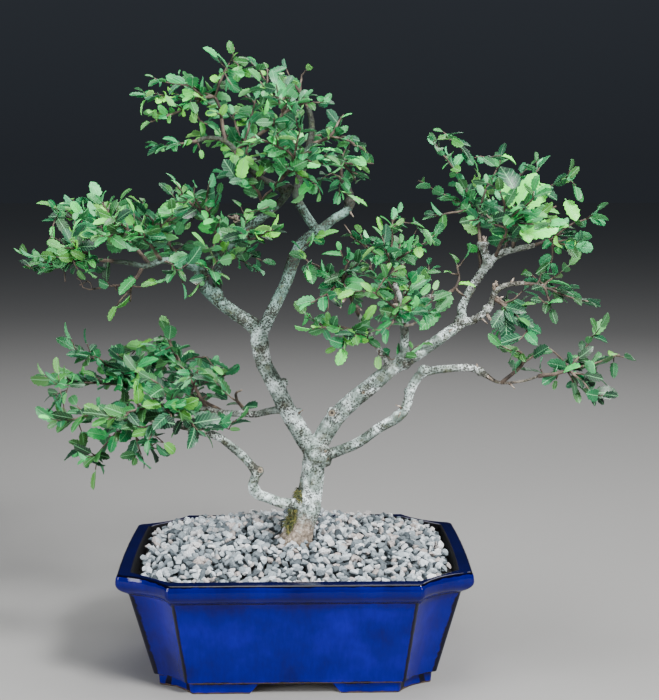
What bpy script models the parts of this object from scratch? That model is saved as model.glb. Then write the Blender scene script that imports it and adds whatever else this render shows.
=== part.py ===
"""Chinese elm bonsai in a glazed rectangular pot with cut, hollowed corners.

Metres, +Z up, the front of the tree towards -Y. Everything is modelled round the pot's centre, and a
parent empty then moves it so that the origin is at the bottom centre of the whole tree and pot.
"""

import math
import random

import bmesh
import bpy
from mathutils import Vector, geometry
from mathutils.bvhtree import BVHTree

GAP = 0.0003  # clearance where one piece rests on or in another
CUT_OVERLAP = 0.002  # how far a cutter reaches past what it cuts
SEED = 31

# The pot, measured over its lip, and its corner cuts as (along the length, along the depth).
RIM_LENGTH = 0.267
RIM_DEPTH = 0.207
POT_HEIGHT = 0.092
RIM_CUT = (0.041, 0.030)
MOUTH_CUT = (0.031, 0.0265)
BASE_CUT = (0.0268, 0.021)
CORNER_SCOOP = 0.11  # how far a corner's outer wall curves in, as a share of the width of its cut
CORNER_SEGMENTS = 4
WALL_TAPER = 0.0256
LIP_HEIGHT = 0.0145
LIP_OVERHANG_END = 0.0093
LIP_OVERHANG_FRONT = 0.008
LIP_ROUND = 0.002
NECK_CUT_SHARE = 0.86  # the corner cuts under the lip, as a share of the lip's
RIM_WIDTH_END = 0.0125
RIM_WIDTH_FRONT = 0.012
FOOT_HEIGHT = 0.0080
FOOT_INSET = 0.0035
FOOT_DRAFT = 0.0006
FOOT_WIDTH = 0.011
FOOT_RECESS_DEPTH = 0.008
FLOOR_TOP = 0.0175
FLOOR_TAPER = (0.022, 0.0215)
FLOOR_CUT = (0.024, 0.0215)
FOOT_OPENING_HEIGHT = 0.0075
FOOT_OPENING_SLOPE = 0.008
FOOT_OPENING_FRONT = 0.028
FOOT_OPENING_END = 0.020
DRAIN_RADIUS = 0.009
DRAIN_SEGMENTS = 16
DRAIN_SPACING = 0.104

# What fills the pot.
SCREEN_SIZE = 0.028
SCREEN_THICKNESS = 0.0012
SCREEN_HOLES = 3
SOIL_TOP = 0.083
ROOT_BOTTOM = 0.050
ROOT_HOLE_RADIUS = 0.0164
ROOT_CENTRE = (-0.0026, -0.0030)
GRAVEL_EDGE = 0.0872
GRAVEL_MOUND = 0.0125
GRAVEL_CREST_Y = 0.022
GRAVEL_REACH = (0.120, 0.084)  # from the mound's crest to where it is level, along x and y
STONE_PITCH = 0.0152
STONE_RELIEF = 0.0042
STONE_SIZES = (0.7, 1.35)
STONE_JITTER = 0.16
STONE_TO_RIM = 0.26
STONE_TO_TRUNK = 0.22
PIT_JITTER = 0.11
PIT_DEPTH = 0.0006

# How many sides the wood has round its heart.
TRUNK_SIDES = 10
THICK_LIMB_SIDES = 6
THIN_LIMB_SIDES = 5
THICK_LIMB_RADIUS = 0.0045

# One leaf blade: its outline as (along, across) in shares of its length and width, from base to base.
LEAF_OUTLINE = [(0.0, 0.0), (0.28, -0.46), (0.70, -0.45), (1.0, 0.0), (0.60, 0.48), (0.20, 0.37)]
LEAF_LENGTH = (0.0135, 0.0175)
LEAF_WIDTH_SHARE = (0.54, 0.64)
LEAF_THICKNESS = 0.0006
LEAF_ARCH = (0.0006, 0.0022)
LEAF_WAVE = 0.0007
LEAF_ROOT = 0.0001
END_LEAF_ROOT = 0.0004
LEAF_SPACING = 0.0116
LEAF_START_STEM = 0.34
LEAF_START_SIDE = 0.20
LEAF_SPREAD = (38, 66)  # degrees between a leaf and its twig
LEAF_LIFT = (-0.10, 0.30)
LEAF_TILT = 0.62
LEAF_CLEARANCE = 0.0003
LEAF_TRIES = 14
TWIG_RADII = (0.0014, 0.0013, 0.00085)
TWIG_SIDES = 3
TWIG_COLLAR = 0.0028  # how far a twig runs straight out of the bark
TWIG_ARCH = 0.0015
TWIG_BEND = 0.003
TWIG_END_DEPTH = 0.001
SIDE_TWIG_START = 0.0006
TWIG_CLEARANCE = 0.0002
SPRAY_TRIES = 40
SPRAY_SHIFT = 0.0006
SPRAY_SLIDE = 0.0012

# Every limb as points (x, y, z, radius) along its heart, from where it leaves its parent.
TRUNK = [
    (-0.0026, -0.0030, ROOT_BOTTOM, 0.0125),
    (-0.0026, -0.0030, 0.0860, 0.0156),
    (-0.0022, -0.0030, 0.0990, 0.0146),
    (0.0035, -0.0020, 0.1090, 0.0118),
    (0.0100, 0.0000, 0.1240, 0.0104),
    (0.0130, 0.0000, 0.1440, 0.0096),
    (0.0150, 0.0000, 0.1620, 0.0094),
    (0.0175, 0.0000, 0.1790, 0.0086),
]
LIMBS = {
    "left_leader": [
        (0.0150, 0.0000, 0.166, 0.0076),
        (0.0020, 0.0020, 0.188, 0.0073),
        (-0.0080, 0.0050, 0.205, 0.0069),
        (-0.0150, 0.0080, 0.220, 0.0067),
        (-0.0240, 0.0100, 0.237, 0.0064),
        (-0.0270, 0.0110, 0.251, 0.0068),
        (-0.0290, 0.0115, 0.264, 0.0067),
        (-0.0450, 0.0080, 0.276, 0.0054),
        (-0.0620, 0.0040, 0.290, 0.0051),
        (-0.0710, 0.0000, 0.301, 0.0050),
        (-0.0720, -0.0020, 0.311, 0.0046),
        (-0.0640, -0.0040, 0.319, 0.0040),
        (-0.0510, -0.0060, 0.330, 0.0038),
        (-0.0380, -0.0060, 0.341, 0.0038),
        (-0.0210, -0.0020, 0.354, 0.0034),
        (-0.0080, 0.0020, 0.366, 0.0034),
        (-0.0035, 0.0040, 0.374, 0.0032),
    ],
    "leader_stub": [
        (-0.0390, -0.0060, 0.340, 0.0030),
        (-0.0440, -0.0090, 0.350, 0.0026),
    ],
    "crown_left": [
        (-0.0050, 0.0035, 0.370, 0.0031),
        (-0.0170, 0.0000, 0.377, 0.0028),
        (-0.0270, -0.0040, 0.382, 0.0026),
        (-0.0370, -0.0080, 0.392, 0.0024),
        (-0.0450, -0.0100, 0.403, 0.0023),
        (-0.0540, -0.0130, 0.410, 0.0020),
        (-0.0660, -0.0160, 0.411, 0.0018),
        (-0.0740, -0.0180, 0.408, 0.0016),
    ],
    "left_arm_low": [
        (-0.0700, 0.0000, 0.309, 0.0040),
        (-0.0790, -0.0080, 0.315, 0.0033),
        (-0.0890, -0.0140, 0.318, 0.0031),
        (-0.0990, -0.0200, 0.320, 0.0027),
        (-0.1110, -0.0250, 0.316, 0.0023),
        (-0.1240, -0.0290, 0.319, 0.0020),
        (-0.1350, -0.0320, 0.320, 0.0018),
    ],
    "left_arm_back": [
        (-0.0600, 0.0050, 0.290, 0.0039),
        (-0.0600, 0.0220, 0.308, 0.0033),
        (-0.0570, 0.0360, 0.318, 0.0026),
    ],
    "rear_leader": [
        (-0.0280, 0.0110, 0.257, 0.0055),
        (-0.0150, 0.0200, 0.282, 0.0050),
        (-0.0070, 0.0260, 0.298, 0.0048),
        (-0.0020, 0.0300, 0.313, 0.0053),
        (0.0030, 0.0330, 0.325, 0.0048),
        (0.0120, 0.0360, 0.334, 0.0051),
        (0.0200, 0.0380, 0.339, 0.0044),
        (0.0310, 0.0420, 0.348, 0.0037),
        (0.0410, 0.0450, 0.354, 0.0036),
        (0.0450, 0.0470, 0.362, 0.0036),
        (0.0430, 0.0480, 0.371, 0.0032),
        (0.0370, 0.0460, 0.382, 0.0025),
    ],
    "rear_leader_up": [
        (0.0200, 0.0370, 0.336, 0.0040),
        (0.0100, 0.0340, 0.351, 0.0037),
        (0.0030, 0.0300, 0.363, 0.0035),
        (0.0020, 0.0270, 0.372, 0.0034),
        (0.0070, 0.0280, 0.389, 0.0032),
        (0.0120, 0.0280, 0.406, 0.0030),
        (0.0140, 0.0280, 0.423, 0.0026),
        (0.0110, 0.0260, 0.436, 0.0022),
    ],
    "right_arm": [
        (0.0150, 0.0000, 0.168, 0.0078),
        (0.0300, -0.0040, 0.194, 0.0075),
        (0.0440, -0.0100, 0.210, 0.0070),
        (0.0590, -0.0140, 0.223, 0.0066),
        (0.0720, -0.0170, 0.235, 0.0061),
        (0.0840, -0.0190, 0.243, 0.0057),
        (0.0950, -0.0200, 0.249, 0.0048),
        (0.1120, -0.0200, 0.261, 0.0044),
        (0.1265, -0.0180, 0.272, 0.0043),
        (0.1280, -0.0145, 0.283, 0.0036),
        (0.1340, -0.0100, 0.295, 0.0033),
        (0.1430, -0.0060, 0.308, 0.0033),
        (0.1510, -0.0030, 0.318, 0.0032),
        (0.1600, -0.0020, 0.324, 0.0029),
        (0.1710, -0.0020, 0.327, 0.0026),
        (0.1850, -0.0040, 0.330, 0.0022),
    ],
    "right_stub": [
        (0.1490, -0.0040, 0.315, 0.0033),
        (0.1450, -0.0020, 0.330, 0.0033),
    ],
    "right_thin": [
        (0.1250, -0.0180, 0.271, 0.0034),
        (0.1390, -0.0220, 0.276, 0.0028),
        (0.1480, -0.0250, 0.285, 0.0025),
        (0.1520, -0.0270, 0.297, 0.0024),
        (0.1620, -0.0280, 0.302, 0.0020),
        (0.1740, -0.0280, 0.303, 0.0018),
    ],
    "low_right": [
        (0.0160, -0.0020, 0.164, 0.0052),
        (0.0370, -0.0140, 0.173, 0.0044),
        (0.0510, -0.0200, 0.181, 0.0041),
        (0.0640, -0.0260, 0.192, 0.0041),
        (0.0780, -0.0300, 0.201, 0.0041),
        (0.0840, -0.0330, 0.209, 0.0039),
        (0.0870, -0.0350, 0.221, 0.0036),
        (0.0915, -0.0365, 0.231, 0.0036),
        (0.0980, -0.0380, 0.237, 0.0035),
        (0.1160, -0.0410, 0.240, 0.0029),
        (0.1300, -0.0430, 0.241, 0.0028),
        (0.1390, -0.0440, 0.238, 0.0025),
        (0.1500, -0.0460, 0.231, 0.0019),
        (0.1590, -0.0470, 0.230, 0.0018),
        (0.1720, -0.0490, 0.232, 0.0016),
        (0.1830, -0.0500, 0.236, 0.0015),
    ],
    "low_left": [
        (0.0100, -0.0020, 0.128, 0.0050),
        (-0.0080, -0.0120, 0.130, 0.0045),
        (-0.0200, -0.0160, 0.135, 0.0041),
        (-0.0300, -0.0190, 0.140, 0.0041),
        (-0.0325, -0.0210, 0.147, 0.0039),
        (-0.0300, -0.0230, 0.157, 0.0038),
        (-0.0370, -0.0260, 0.168, 0.0035),
        (-0.0480, -0.0300, 0.179, 0.0033),
        (-0.0590, -0.0340, 0.188, 0.0030),
        (-0.0710, -0.0380, 0.192, 0.0029),
        (-0.0810, -0.0410, 0.196, 0.0025),
        (-0.0950, -0.0440, 0.199, 0.0021),
        (-0.1080, -0.0470, 0.203, 0.0018),
    ],
    "mid_left": [
        (-0.0050, 0.0040, 0.202, 0.0036),
        (-0.0200, 0.0100, 0.199, 0.0030),
        (-0.0310, 0.0140, 0.196, 0.0028),
        (-0.0460, 0.0180, 0.196, 0.0028),
        (-0.0590, 0.0220, 0.196, 0.0026),
        (-0.0750, 0.0180, 0.201, 0.0024),
        (-0.0920, 0.0120, 0.209, 0.0021),
        (-0.1050, 0.0080, 0.214, 0.0018),
    ],
    "centre_up": [
        (0.0830, -0.0190, 0.241, 0.0038),
        (0.0840, -0.0180, 0.255, 0.0036),
        (0.0840, -0.0170, 0.266, 0.0035),
        (0.0830, -0.0170, 0.277, 0.0037),
        (0.0820, -0.0160, 0.286, 0.0028),
        (0.0760, -0.0140, 0.302, 0.0022),
    ],
    "centre_side": [
        (0.0825, -0.0165, 0.285, 0.0024),
        (0.1040, -0.0180, 0.292, 0.0020),
        (0.1150, -0.0200, 0.293, 0.0018),
    ],
    "centre_thin": [
        (0.0750, -0.0165, 0.235, 0.0028),
        (0.0650, -0.0200, 0.251, 0.0024),
        (0.0550, -0.0240, 0.267, 0.0023),
        (0.0480, -0.0270, 0.280, 0.0019),
    ],
}

# Leafy sprays by pad: the limb and how far along it the twig leaves, where it forks, and its tips.
SPRAYS = {
    "crown": [
        ("crown_left", 1.00, (-0.084, -0.021, 0.407), [(-0.101, -0.028, 0.405)]),
        ("crown_left", 0.72, (-0.060, 0.002, 0.442),
         [(-0.107, -0.016, 0.423), (-0.111, -0.006, 0.442), (-0.102, 0.008, 0.454), (-0.047, 0.004, 0.470)]),
        ("crown_left", 0.60, (-0.008, -0.024, 0.429),
         [(-0.028, -0.016, 0.466), (-0.013, -0.030, 0.450), (0.022, -0.034, 0.437)]),
        ("rear_leader_up", 1.00, (0.005, 0.027, 0.447),
         [(-0.018, 0.020, 0.460), (0.006, 0.038, 0.461)]),
        ("rear_leader_up", 0.72, (0.028, 0.024, 0.413),
         [(0.039, 0.034, 0.430), (0.057, 0.014, 0.400)]),
        ("rear_leader", 1.00, (0.038, 0.047, 0.392),
         [(0.050, 0.064, 0.378), (0.063, 0.040, 0.392)]),
        ("crown_left", 0.12, (0.000, -0.032, 0.395),
         [(-0.023, -0.050, 0.409), (0.005, -0.052, 0.418), (0.037, -0.046, 0.396)]),
        ("rear_leader_up", 0.45, (0.000, 0.056, 0.407),
         [(-0.039, 0.070, 0.433), (-0.007, 0.078, 0.439), (0.025, 0.078, 0.415)]),
        ("left_leader", 0.90, (-0.028, -0.018, 0.373), [(-0.046, -0.030, 0.386)]),
        ("crown_left", 0.34, (-0.040, 0.024, 0.404),
         [(-0.070, 0.036, 0.410), (-0.048, 0.044, 0.430), (-0.030, 0.040, 0.442)]),
    ],
    "left_shelf": [
        ("left_arm_low", 1.00, (-0.146, -0.034, 0.322),
         [(-0.169, -0.054, 0.332), (-0.192, -0.042, 0.325), (-0.194, -0.026, 0.314)]),
        ("left_arm_low", 0.62, (-0.132, -0.002, 0.341),
         [(-0.149, 0.010, 0.366), (-0.170, 0.014, 0.358), (-0.178, -0.008, 0.354)]),
        ("left_arm_low", 0.50, (-0.106, -0.046, 0.337),
         [(-0.085, -0.060, 0.358), (-0.130, -0.068, 0.351), (-0.144, -0.062, 0.340)]),
        ("left_arm_low", 0.20, (-0.100, 0.034, 0.332),
         [(-0.081, 0.048, 0.363), (-0.124, 0.058, 0.359), (-0.147, 0.046, 0.344)]),
        ("left_arm_low", 0.70, (-0.122, -0.024, 0.302),
         [(-0.125, -0.010, 0.288), (-0.151, -0.028, 0.299)]),
        ("left_leader", 0.745, (-0.066, -0.010, 0.352),
         [(-0.086, -0.002, 0.369), (-0.063, -0.014, 0.380)]),
        ("left_leader", 0.83, (-0.033, -0.028, 0.336), [(-0.017, -0.038, 0.343)]),
        ("left_arm_back", 1.00, (-0.053, 0.046, 0.327),
         [(-0.073, 0.062, 0.347), (-0.026, 0.056, 0.314)]),
    ],
    "low_shelf": [
        ("low_left", 1.00, (-0.120, -0.049, 0.206),
         [(-0.113, -0.062, 0.180), (-0.148, -0.052, 0.177), (-0.175, -0.054, 0.203)]),
        ("low_left", 0.78, (-0.089, -0.072, 0.218),
         [(-0.064, -0.080, 0.198), (-0.104, -0.092, 0.197), (-0.133, -0.092, 0.212),
          (-0.103, -0.084, 0.240)]),
        ("mid_left", 1.00, (-0.118, 0.004, 0.219),
         [(-0.134, -0.026, 0.250), (-0.170, 0.004, 0.249), (-0.182, -0.012, 0.226)]),
        ("mid_left", 0.62, (-0.092, 0.018, 0.237),
         [(-0.123, 0.034, 0.247), (-0.100, 0.020, 0.261), (-0.069, 0.006, 0.243)]),
        ("mid_left", 0.50, (-0.084, 0.056, 0.207),
         [(-0.055, 0.060, 0.221), (-0.095, 0.078, 0.231), (-0.144, 0.070, 0.215)]),
        ("mid_left", 0.32, (-0.045, -0.008, 0.212), [(-0.040, -0.026, 0.222)]),
        ("mid_left", 0.84, (-0.108, 0.030, 0.196), [(-0.134, 0.036, 0.188), (-0.150, 0.026, 0.196)]),
    ],
    "centre_tuft": [
        ("centre_up", 1.00, (0.073, -0.012, 0.316),
         [(0.042, -0.016, 0.338), (0.075, -0.004, 0.350), (0.103, -0.010, 0.334)]),
        ("centre_thin", 1.00, (0.036, -0.036, 0.303),
         [(0.012, -0.054, 0.291), (0.008, -0.038, 0.322), (0.040, -0.056, 0.322)]),
        ("centre_thin", 0.40, (0.043, -0.044, 0.270),
         [(0.037, -0.056, 0.258), (0.013, -0.056, 0.272)]),
        ("centre_side", 1.00, (0.122, -0.022, 0.299),
         [(0.124, -0.012, 0.316), (0.129, -0.034, 0.293)]),
        ("centre_up", 0.60, (0.077, -0.052, 0.285),
         [(0.100, -0.064, 0.284), (0.067, -0.078, 0.274), (0.056, -0.074, 0.301), (0.085, -0.072, 0.309)]),
        ("centre_up", 0.42, (0.080, 0.020, 0.283),
         [(0.057, 0.042, 0.314), (0.085, 0.046, 0.328), (0.110, 0.040, 0.308)]),
    ],
    "right_crown": [
        ("right_arm", 0.80, (0.142, 0.014, 0.352),
         [(0.109, 0.002, 0.352), (0.097, 0.024, 0.379), (0.110, 0.018, 0.407), (0.160, 0.026, 0.390)]),
        ("right_arm", 1.00, (0.196, -0.005, 0.334),
         [(0.196, -0.012, 0.317), (0.212, -0.022, 0.330), (0.226, -0.006, 0.351)]),
        ("right_arm", 0.93, (0.170, -0.012, 0.356),
         [(0.187, -0.004, 0.389), (0.206, -0.018, 0.381)]),
        ("right_arm", 0.87, (0.157, -0.040, 0.347),
         [(0.123, -0.050, 0.350), (0.149, -0.062, 0.373), (0.175, -0.060, 0.369), (0.187, -0.056, 0.347)]),
        ("right_arm", 0.90, (0.172, 0.034, 0.342),
         [(0.146, 0.050, 0.377), (0.183, 0.060, 0.385), (0.211, 0.052, 0.358)]),
    ],
    "far_twig": [
        ("right_thin", 1.00, (0.187, -0.030, 0.300),
         [(0.191, -0.044, 0.286), (0.216, -0.034, 0.289), (0.198, -0.012, 0.306)]),
        ("right_thin", 0.55, (0.160, -0.036, 0.284),
         [(0.155, -0.030, 0.268), (0.174, -0.044, 0.267)]),
        ("low_right", 1.00, (0.203, -0.051, 0.240),
         [(0.189, -0.038, 0.256), (0.222, -0.046, 0.265), (0.220, -0.062, 0.224), (0.241, -0.054, 0.252)]),
        ("low_right", 0.86, (0.168, -0.058, 0.246), [(0.163, -0.066, 0.257), (0.184, -0.066, 0.257)]),
    ],
}


def linear(hex_colour):
    """A colour written as sRGB hex, as the linear values that a shader takes."""
    shares = [int(hex_colour[i : i + 2], 16) / 255 for i in (1, 3, 5)]
    return [s / 12.92 if s <= 0.04045 else ((s + 0.055) / 1.055) ** 2.4 for s in shares]


def finish(name, hex_colour, roughness):
    material = bpy.data.materials.new(name)
    material.use_nodes = True
    shader = material.node_tree.nodes["Principled BSDF"]
    shader.inputs["Base Color"].default_value = (*linear(hex_colour), 1.0)
    shader.inputs["Roughness"].default_value = roughness
    shader.inputs["Metallic"].default_value = 0.0
    return material


def clear_scene():
    for obj in list(bpy.data.objects):
        bpy.data.objects.remove(obj, do_unlink=True)


def object_of(bm, name, material=None):
    """The bmesh as a named object, with its faces turned outwards."""
    bmesh.ops.recalc_face_normals(bm, faces=bm.faces)
    mesh = bpy.data.meshes.new(name)
    bm.to_mesh(mesh)
    bm.free()
    obj = bpy.data.objects.new(name, mesh)
    bpy.context.scene.collection.objects.link(obj)
    if material:
        mesh.materials.append(material)
    return obj


def extrude_rings(bm, rings):
    """A closed body through rings of equally many points: the first ring's face, extruded ring by ring."""
    first = bm.faces.new([bm.verts.new(point) for point in rings[0]])
    face = first
    for ring in rings[1:]:
        grown = bmesh.ops.extrude_face_region(bm, geom=[face])["geom"]
        if face != first:
            bm.faces.remove(face)
        face = next(item for item in grown if isinstance(item, bmesh.types.BMFace))
        for vert, point in zip(face.verts, ring):
            vert.co = point


def apply_modifiers(obj):
    """Replaces the object's mesh by its evaluated one."""
    graph = bpy.context.evaluated_depsgraph_get()
    mesh = bpy.data.meshes.new_from_object(obj.evaluated_get(graph))
    obj.modifiers.clear()
    obj.data = mesh


def union(obj, others, solver):
    """Joins overlapping pieces to the first one with one Boolean, and removes them."""
    pieces = bpy.data.collections.new(obj.name + "_pieces")
    bpy.context.scene.collection.children.link(pieces)
    for other in others:
        pieces.objects.link(other)
    join = obj.modifiers.new("join", "BOOLEAN")
    join.operation = "UNION"
    join.operand_type = "COLLECTION"
    join.collection = pieces
    join.solver = solver
    apply_modifiers(obj)
    for other in others:
        bpy.data.objects.remove(other, do_unlink=True)
    bpy.data.collections.remove(pieces)
    return obj


def cut(obj, cutter):
    """Cuts the cutter's shape out of the object, and hides the cutter."""
    cutter.hide_render = True
    cutter.display_type = "WIRE"
    made = obj.modifiers.new("cut_" + cutter.name, "BOOLEAN")
    made.operation = "DIFFERENCE"
    made.object = cutter
    made.solver = "EXACT"


def cut_corner_ring(half_length, half_depth, corner, z, scoop=0.0, segments=1):
    """Rectangle with its corners cut off, anticlockwise from the front right.

    Each cut may curve in by a share of its width.
    """
    x = half_length
    y = half_depth
    flat_x = half_length - corner[0]
    flat_y = half_depth - corner[1]
    right = []
    for start, end in [((flat_x, -y), (x, -flat_y)), ((x, flat_y), (flat_x, y))]:
        start = Vector(start)
        end = Vector(end)
        inwards = (end - start).orthogonal()
        for i in range(segments + 1):
            share = i / segments
            right.append(start.lerp(end, share) + inwards * scoop * 4 * share * (1 - share))
    return [Vector((p.x, p.y, z)) for p in right] + [Vector((-p.x, -p.y, z)) for p in right]


def between(low, high, share):
    return low + (high - low) * share


def pot_inside(z, inset, segments=1):
    """The pot's inner wall at a height, as a ring set in from it by a clearance. Its corners are straight."""
    mouth = (RIM_LENGTH / 2 - RIM_WIDTH_END, RIM_DEPTH / 2 - RIM_WIDTH_FRONT)
    share = (z - FLOOR_TOP) / (POT_HEIGHT - FLOOR_TOP)
    half = [between(m - t, m, share) - inset for m, t in zip(mouth, FLOOR_TAPER)]
    corner = [between(f, m, share) for f, m in zip(FLOOR_CUT, MOUTH_CUT)]
    return cut_corner_ring(half[0], half[1], corner, z, 0.0, segments)


def pot_outside():
    """Rings of the pot's outer face, from the underside of the feet to the top of the rim."""
    rim = (RIM_LENGTH / 2, RIM_DEPTH / 2)
    base = [r - WALL_TAPER for r in rim]
    neck = (rim[0] - LIP_OVERHANG_END, rim[1] - LIP_OVERHANG_FRONT)
    foot = [b - FOOT_INSET for b in base]
    neck_cut = [c * NECK_CUT_SHARE for c in RIM_CUT]
    lip_bottom = POT_HEIGHT - LIP_HEIGHT
    levels = [
        (foot[0] - FOOT_DRAFT, foot[1] - FOOT_DRAFT, BASE_CUT, 0.0),
        (foot[0], foot[1], BASE_CUT, FOOT_HEIGHT),
        (base[0], base[1], BASE_CUT, FOOT_HEIGHT + LIP_ROUND),
        (neck[0], neck[1], neck_cut, lip_bottom - LIP_ROUND),
        (rim[0] - LIP_ROUND, rim[1] - LIP_ROUND, RIM_CUT, lip_bottom),
        (rim[0], rim[1], RIM_CUT, lip_bottom + LIP_ROUND),
        (rim[0], rim[1], RIM_CUT, POT_HEIGHT - LIP_ROUND),
        (rim[0] - LIP_ROUND, rim[1] - LIP_ROUND, RIM_CUT, POT_HEIGHT),
    ]
    return [cut_corner_ring(*level, CORNER_SCOOP, CORNER_SEGMENTS) for level in levels]


def foot_recess():
    """The hollow under the pot, inside its ring of feet."""
    base = (RIM_LENGTH / 2 - WALL_TAPER - FOOT_INSET, RIM_DEPTH / 2 - WALL_TAPER - FOOT_INSET)
    half = [b - FOOT_WIDTH for b in base]
    bm = bmesh.new()
    rings = [cut_corner_ring(half[0], half[1], BASE_CUT, z) for z in (-CUT_OVERLAP, FOOT_RECESS_DEPTH)]
    extrude_rings(bm, rings)
    return object_of(bm, "foot_recess")


def foot_opening(half_width, along_x):
    """The gap between the feet on two opposite sides, wider at the table than at the pot."""
    reach = RIM_LENGTH
    levels = [(-CUT_OVERLAP, half_width + FOOT_OPENING_SLOPE), (FOOT_OPENING_HEIGHT, half_width)]
    rings = []
    for z, half in levels:
        corners = [(half, -reach), (half, reach), (-half, reach), (-half, -reach)]
        if along_x:
            corners = [(y, x) for x, y in reversed(corners)]
        rings.append([Vector((x, y, z)) for x, y in corners])
    bm = bmesh.new()
    extrude_rings(bm, rings)
    return object_of(bm, "foot_opening_side" if along_x else "foot_opening_front")


def drain_centres():
    return [Vector((side * DRAIN_SPACING / 2, 0.0, 0.0)) for side in (-1, 1)]


def drain_hole(centre, name):
    bm = bmesh.new()
    radius = DRAIN_RADIUS
    height = 2 * FLOOR_TOP
    bmesh.ops.create_cone(
        bm, cap_ends=True, segments=DRAIN_SEGMENTS, radius1=radius, radius2=radius, depth=height
    )
    bmesh.ops.translate(bm, verts=bm.verts, vec=centre + Vector((0, 0, FLOOR_TOP)))
    return object_of(bm, name)


def make_pot():
    """One glazed body: feet, tapered walls with cut corners, rolled lip, and a floor with two drain holes."""
    rings = pot_outside()
    for z, inset in [(POT_HEIGHT, -LIP_ROUND / 2), (POT_HEIGHT - LIP_ROUND, 0.0), (FLOOR_TOP, 0.0)]:
        rings.append(pot_inside(z, inset, CORNER_SEGMENTS))
    bm = bmesh.new()
    extrude_rings(bm, rings)
    pot = object_of(bm, "pot", finish("cobalt_glaze", "#12218F", 0.16))
    cut(pot, foot_recess())
    cut(pot, foot_opening(FOOT_OPENING_FRONT, False))
    cut(pot, foot_opening(FOOT_OPENING_END, True))
    for centre, side in zip(drain_centres(), ("left", "right")):
        cut(pot, drain_hole(centre, "drain_hole_" + side))
    return pot


def make_drain_screen(centre, name, material):
    """A square of coarse plastic mesh that lies over a drain hole and keeps the soil in."""
    cells = 2 * SCREEN_HOLES + 1
    bm = bmesh.new()
    bmesh.ops.create_grid(bm, x_segments=cells, y_segments=cells, size=SCREEN_SIZE / 2)
    step = SCREEN_SIZE / cells
    holes = []
    for face in bm.faces:
        middle = face.calc_center_median()
        column = round((middle.x + SCREEN_SIZE / 2) / step - 0.5)
        row = round((middle.y + SCREEN_SIZE / 2) / step - 0.5)
        if column % 2 and row % 2:
            holes.append(face)
    bmesh.ops.delete(bm, geom=holes, context="FACES_ONLY")
    grown = bmesh.ops.extrude_face_region(bm, geom=bm.faces[:])["geom"]
    raised = [item for item in grown if isinstance(item, bmesh.types.BMVert)]
    bmesh.ops.translate(bm, verts=raised, vec=(0, 0, SCREEN_THICKNESS))
    bmesh.ops.translate(bm, verts=bm.verts, vec=centre + Vector((0, 0, FLOOR_TOP + GAP)))
    return object_of(bm, name, material)


def column_ring(radius, z):
    """A ring round the trunk's foot, with as many sides as the trunk."""
    angles = [math.tau * i / TRUNK_SIDES for i in range(TRUNK_SIDES)]
    centre = Vector((*ROOT_CENTRE, z))
    return [centre + radius * Vector((math.cos(a), math.sin(a), 0)) for a in angles]


def make_soil():
    """The root-filled soil block, with the plain hole that the trunk's foot stands in."""
    bottom = FLOOR_TOP + SCREEN_THICKNESS + 2 * GAP
    bm = bmesh.new()
    extrude_rings(bm, [pot_inside(bottom, GAP), pot_inside(SOIL_TOP, GAP)])
    soil = object_of(bm, "soil", finish("potting_soil", "#3A2B20", 0.95))
    bm = bmesh.new()
    rings = [column_ring(ROOT_HOLE_RADIUS, z) for z in (ROOT_BOTTOM - GAP, SOIL_TOP + CUT_OVERLAP)]
    extrude_rings(bm, rings)
    cut(soil, object_of(bm, "root_hole"))
    return soil


def gravel_surface(x, y):
    """Height of the gravel mound: low along the rim, with its crest just behind the trunk."""
    across = max(0.0, 1 - (x / GRAVEL_REACH[0]) ** 2)
    along = max(0.0, 1 - ((y - GRAVEL_CREST_Y) / GRAVEL_REACH[1]) ** 2)
    return GRAVEL_EDGE + GRAVEL_MOUND * across * along


def inside_ring(point, ring, margin):
    """Whether a point lies inside a convex anticlockwise ring by at least a margin."""
    for i, corner in enumerate(ring):
        edge = (ring[(i + 1) % len(ring)] - corner).to_2d()
        offset = Vector(point) - corner.to_2d()
        if edge.normalized().cross(offset) < margin:
            return False
    return True


def divided(ring, step):
    """The ring with points added so that none are further apart than about one step."""
    points = []
    for i, corner in enumerate(ring):
        nxt = ring[(i + 1) % len(ring)]
        count = max(1, round((nxt - corner).length / step))
        points += [corner.lerp(nxt, k / count).to_2d() for k in range(count)]
    return points


def stone_points(outline, hole, rng):
    """Stone tops and the pits between them, on a jittered honeycomb, as ((x, y), rise)."""
    points = []
    row_step = STONE_PITCH * math.sqrt(3) / 2
    pit_step = STONE_PITCH / math.sqrt(3)
    rows = int(RIM_DEPTH / row_step / 2) + 1
    columns = int(RIM_LENGTH / STONE_PITCH / 2) + 1
    for row in range(-rows, rows + 1):
        for column in range(-columns, columns + 1):
            x = (column + 0.5 * (row % 2)) * STONE_PITCH
            y = row * row_step
            for step, is_stone in [(0.0, True), (pit_step, False), (-pit_step, False)]:
                jitter = STONE_PITCH * (STONE_JITTER if is_stone else PIT_JITTER)
                place = (x + rng.uniform(-jitter, jitter), y + step + rng.uniform(-jitter, jitter))
                rise = STONE_RELIEF * rng.uniform(*STONE_SIZES) if is_stone else -rng.uniform(0, PIT_DEPTH)
                away = (Vector(place) - Vector(ROOT_CENTRE)).length - hole
                clear = inside_ring(place, outline, STONE_TO_RIM * STONE_PITCH)
                if clear and away > STONE_TO_TRUNK * STONE_PITCH:
                    points.append((place, rise))
    return points


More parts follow.
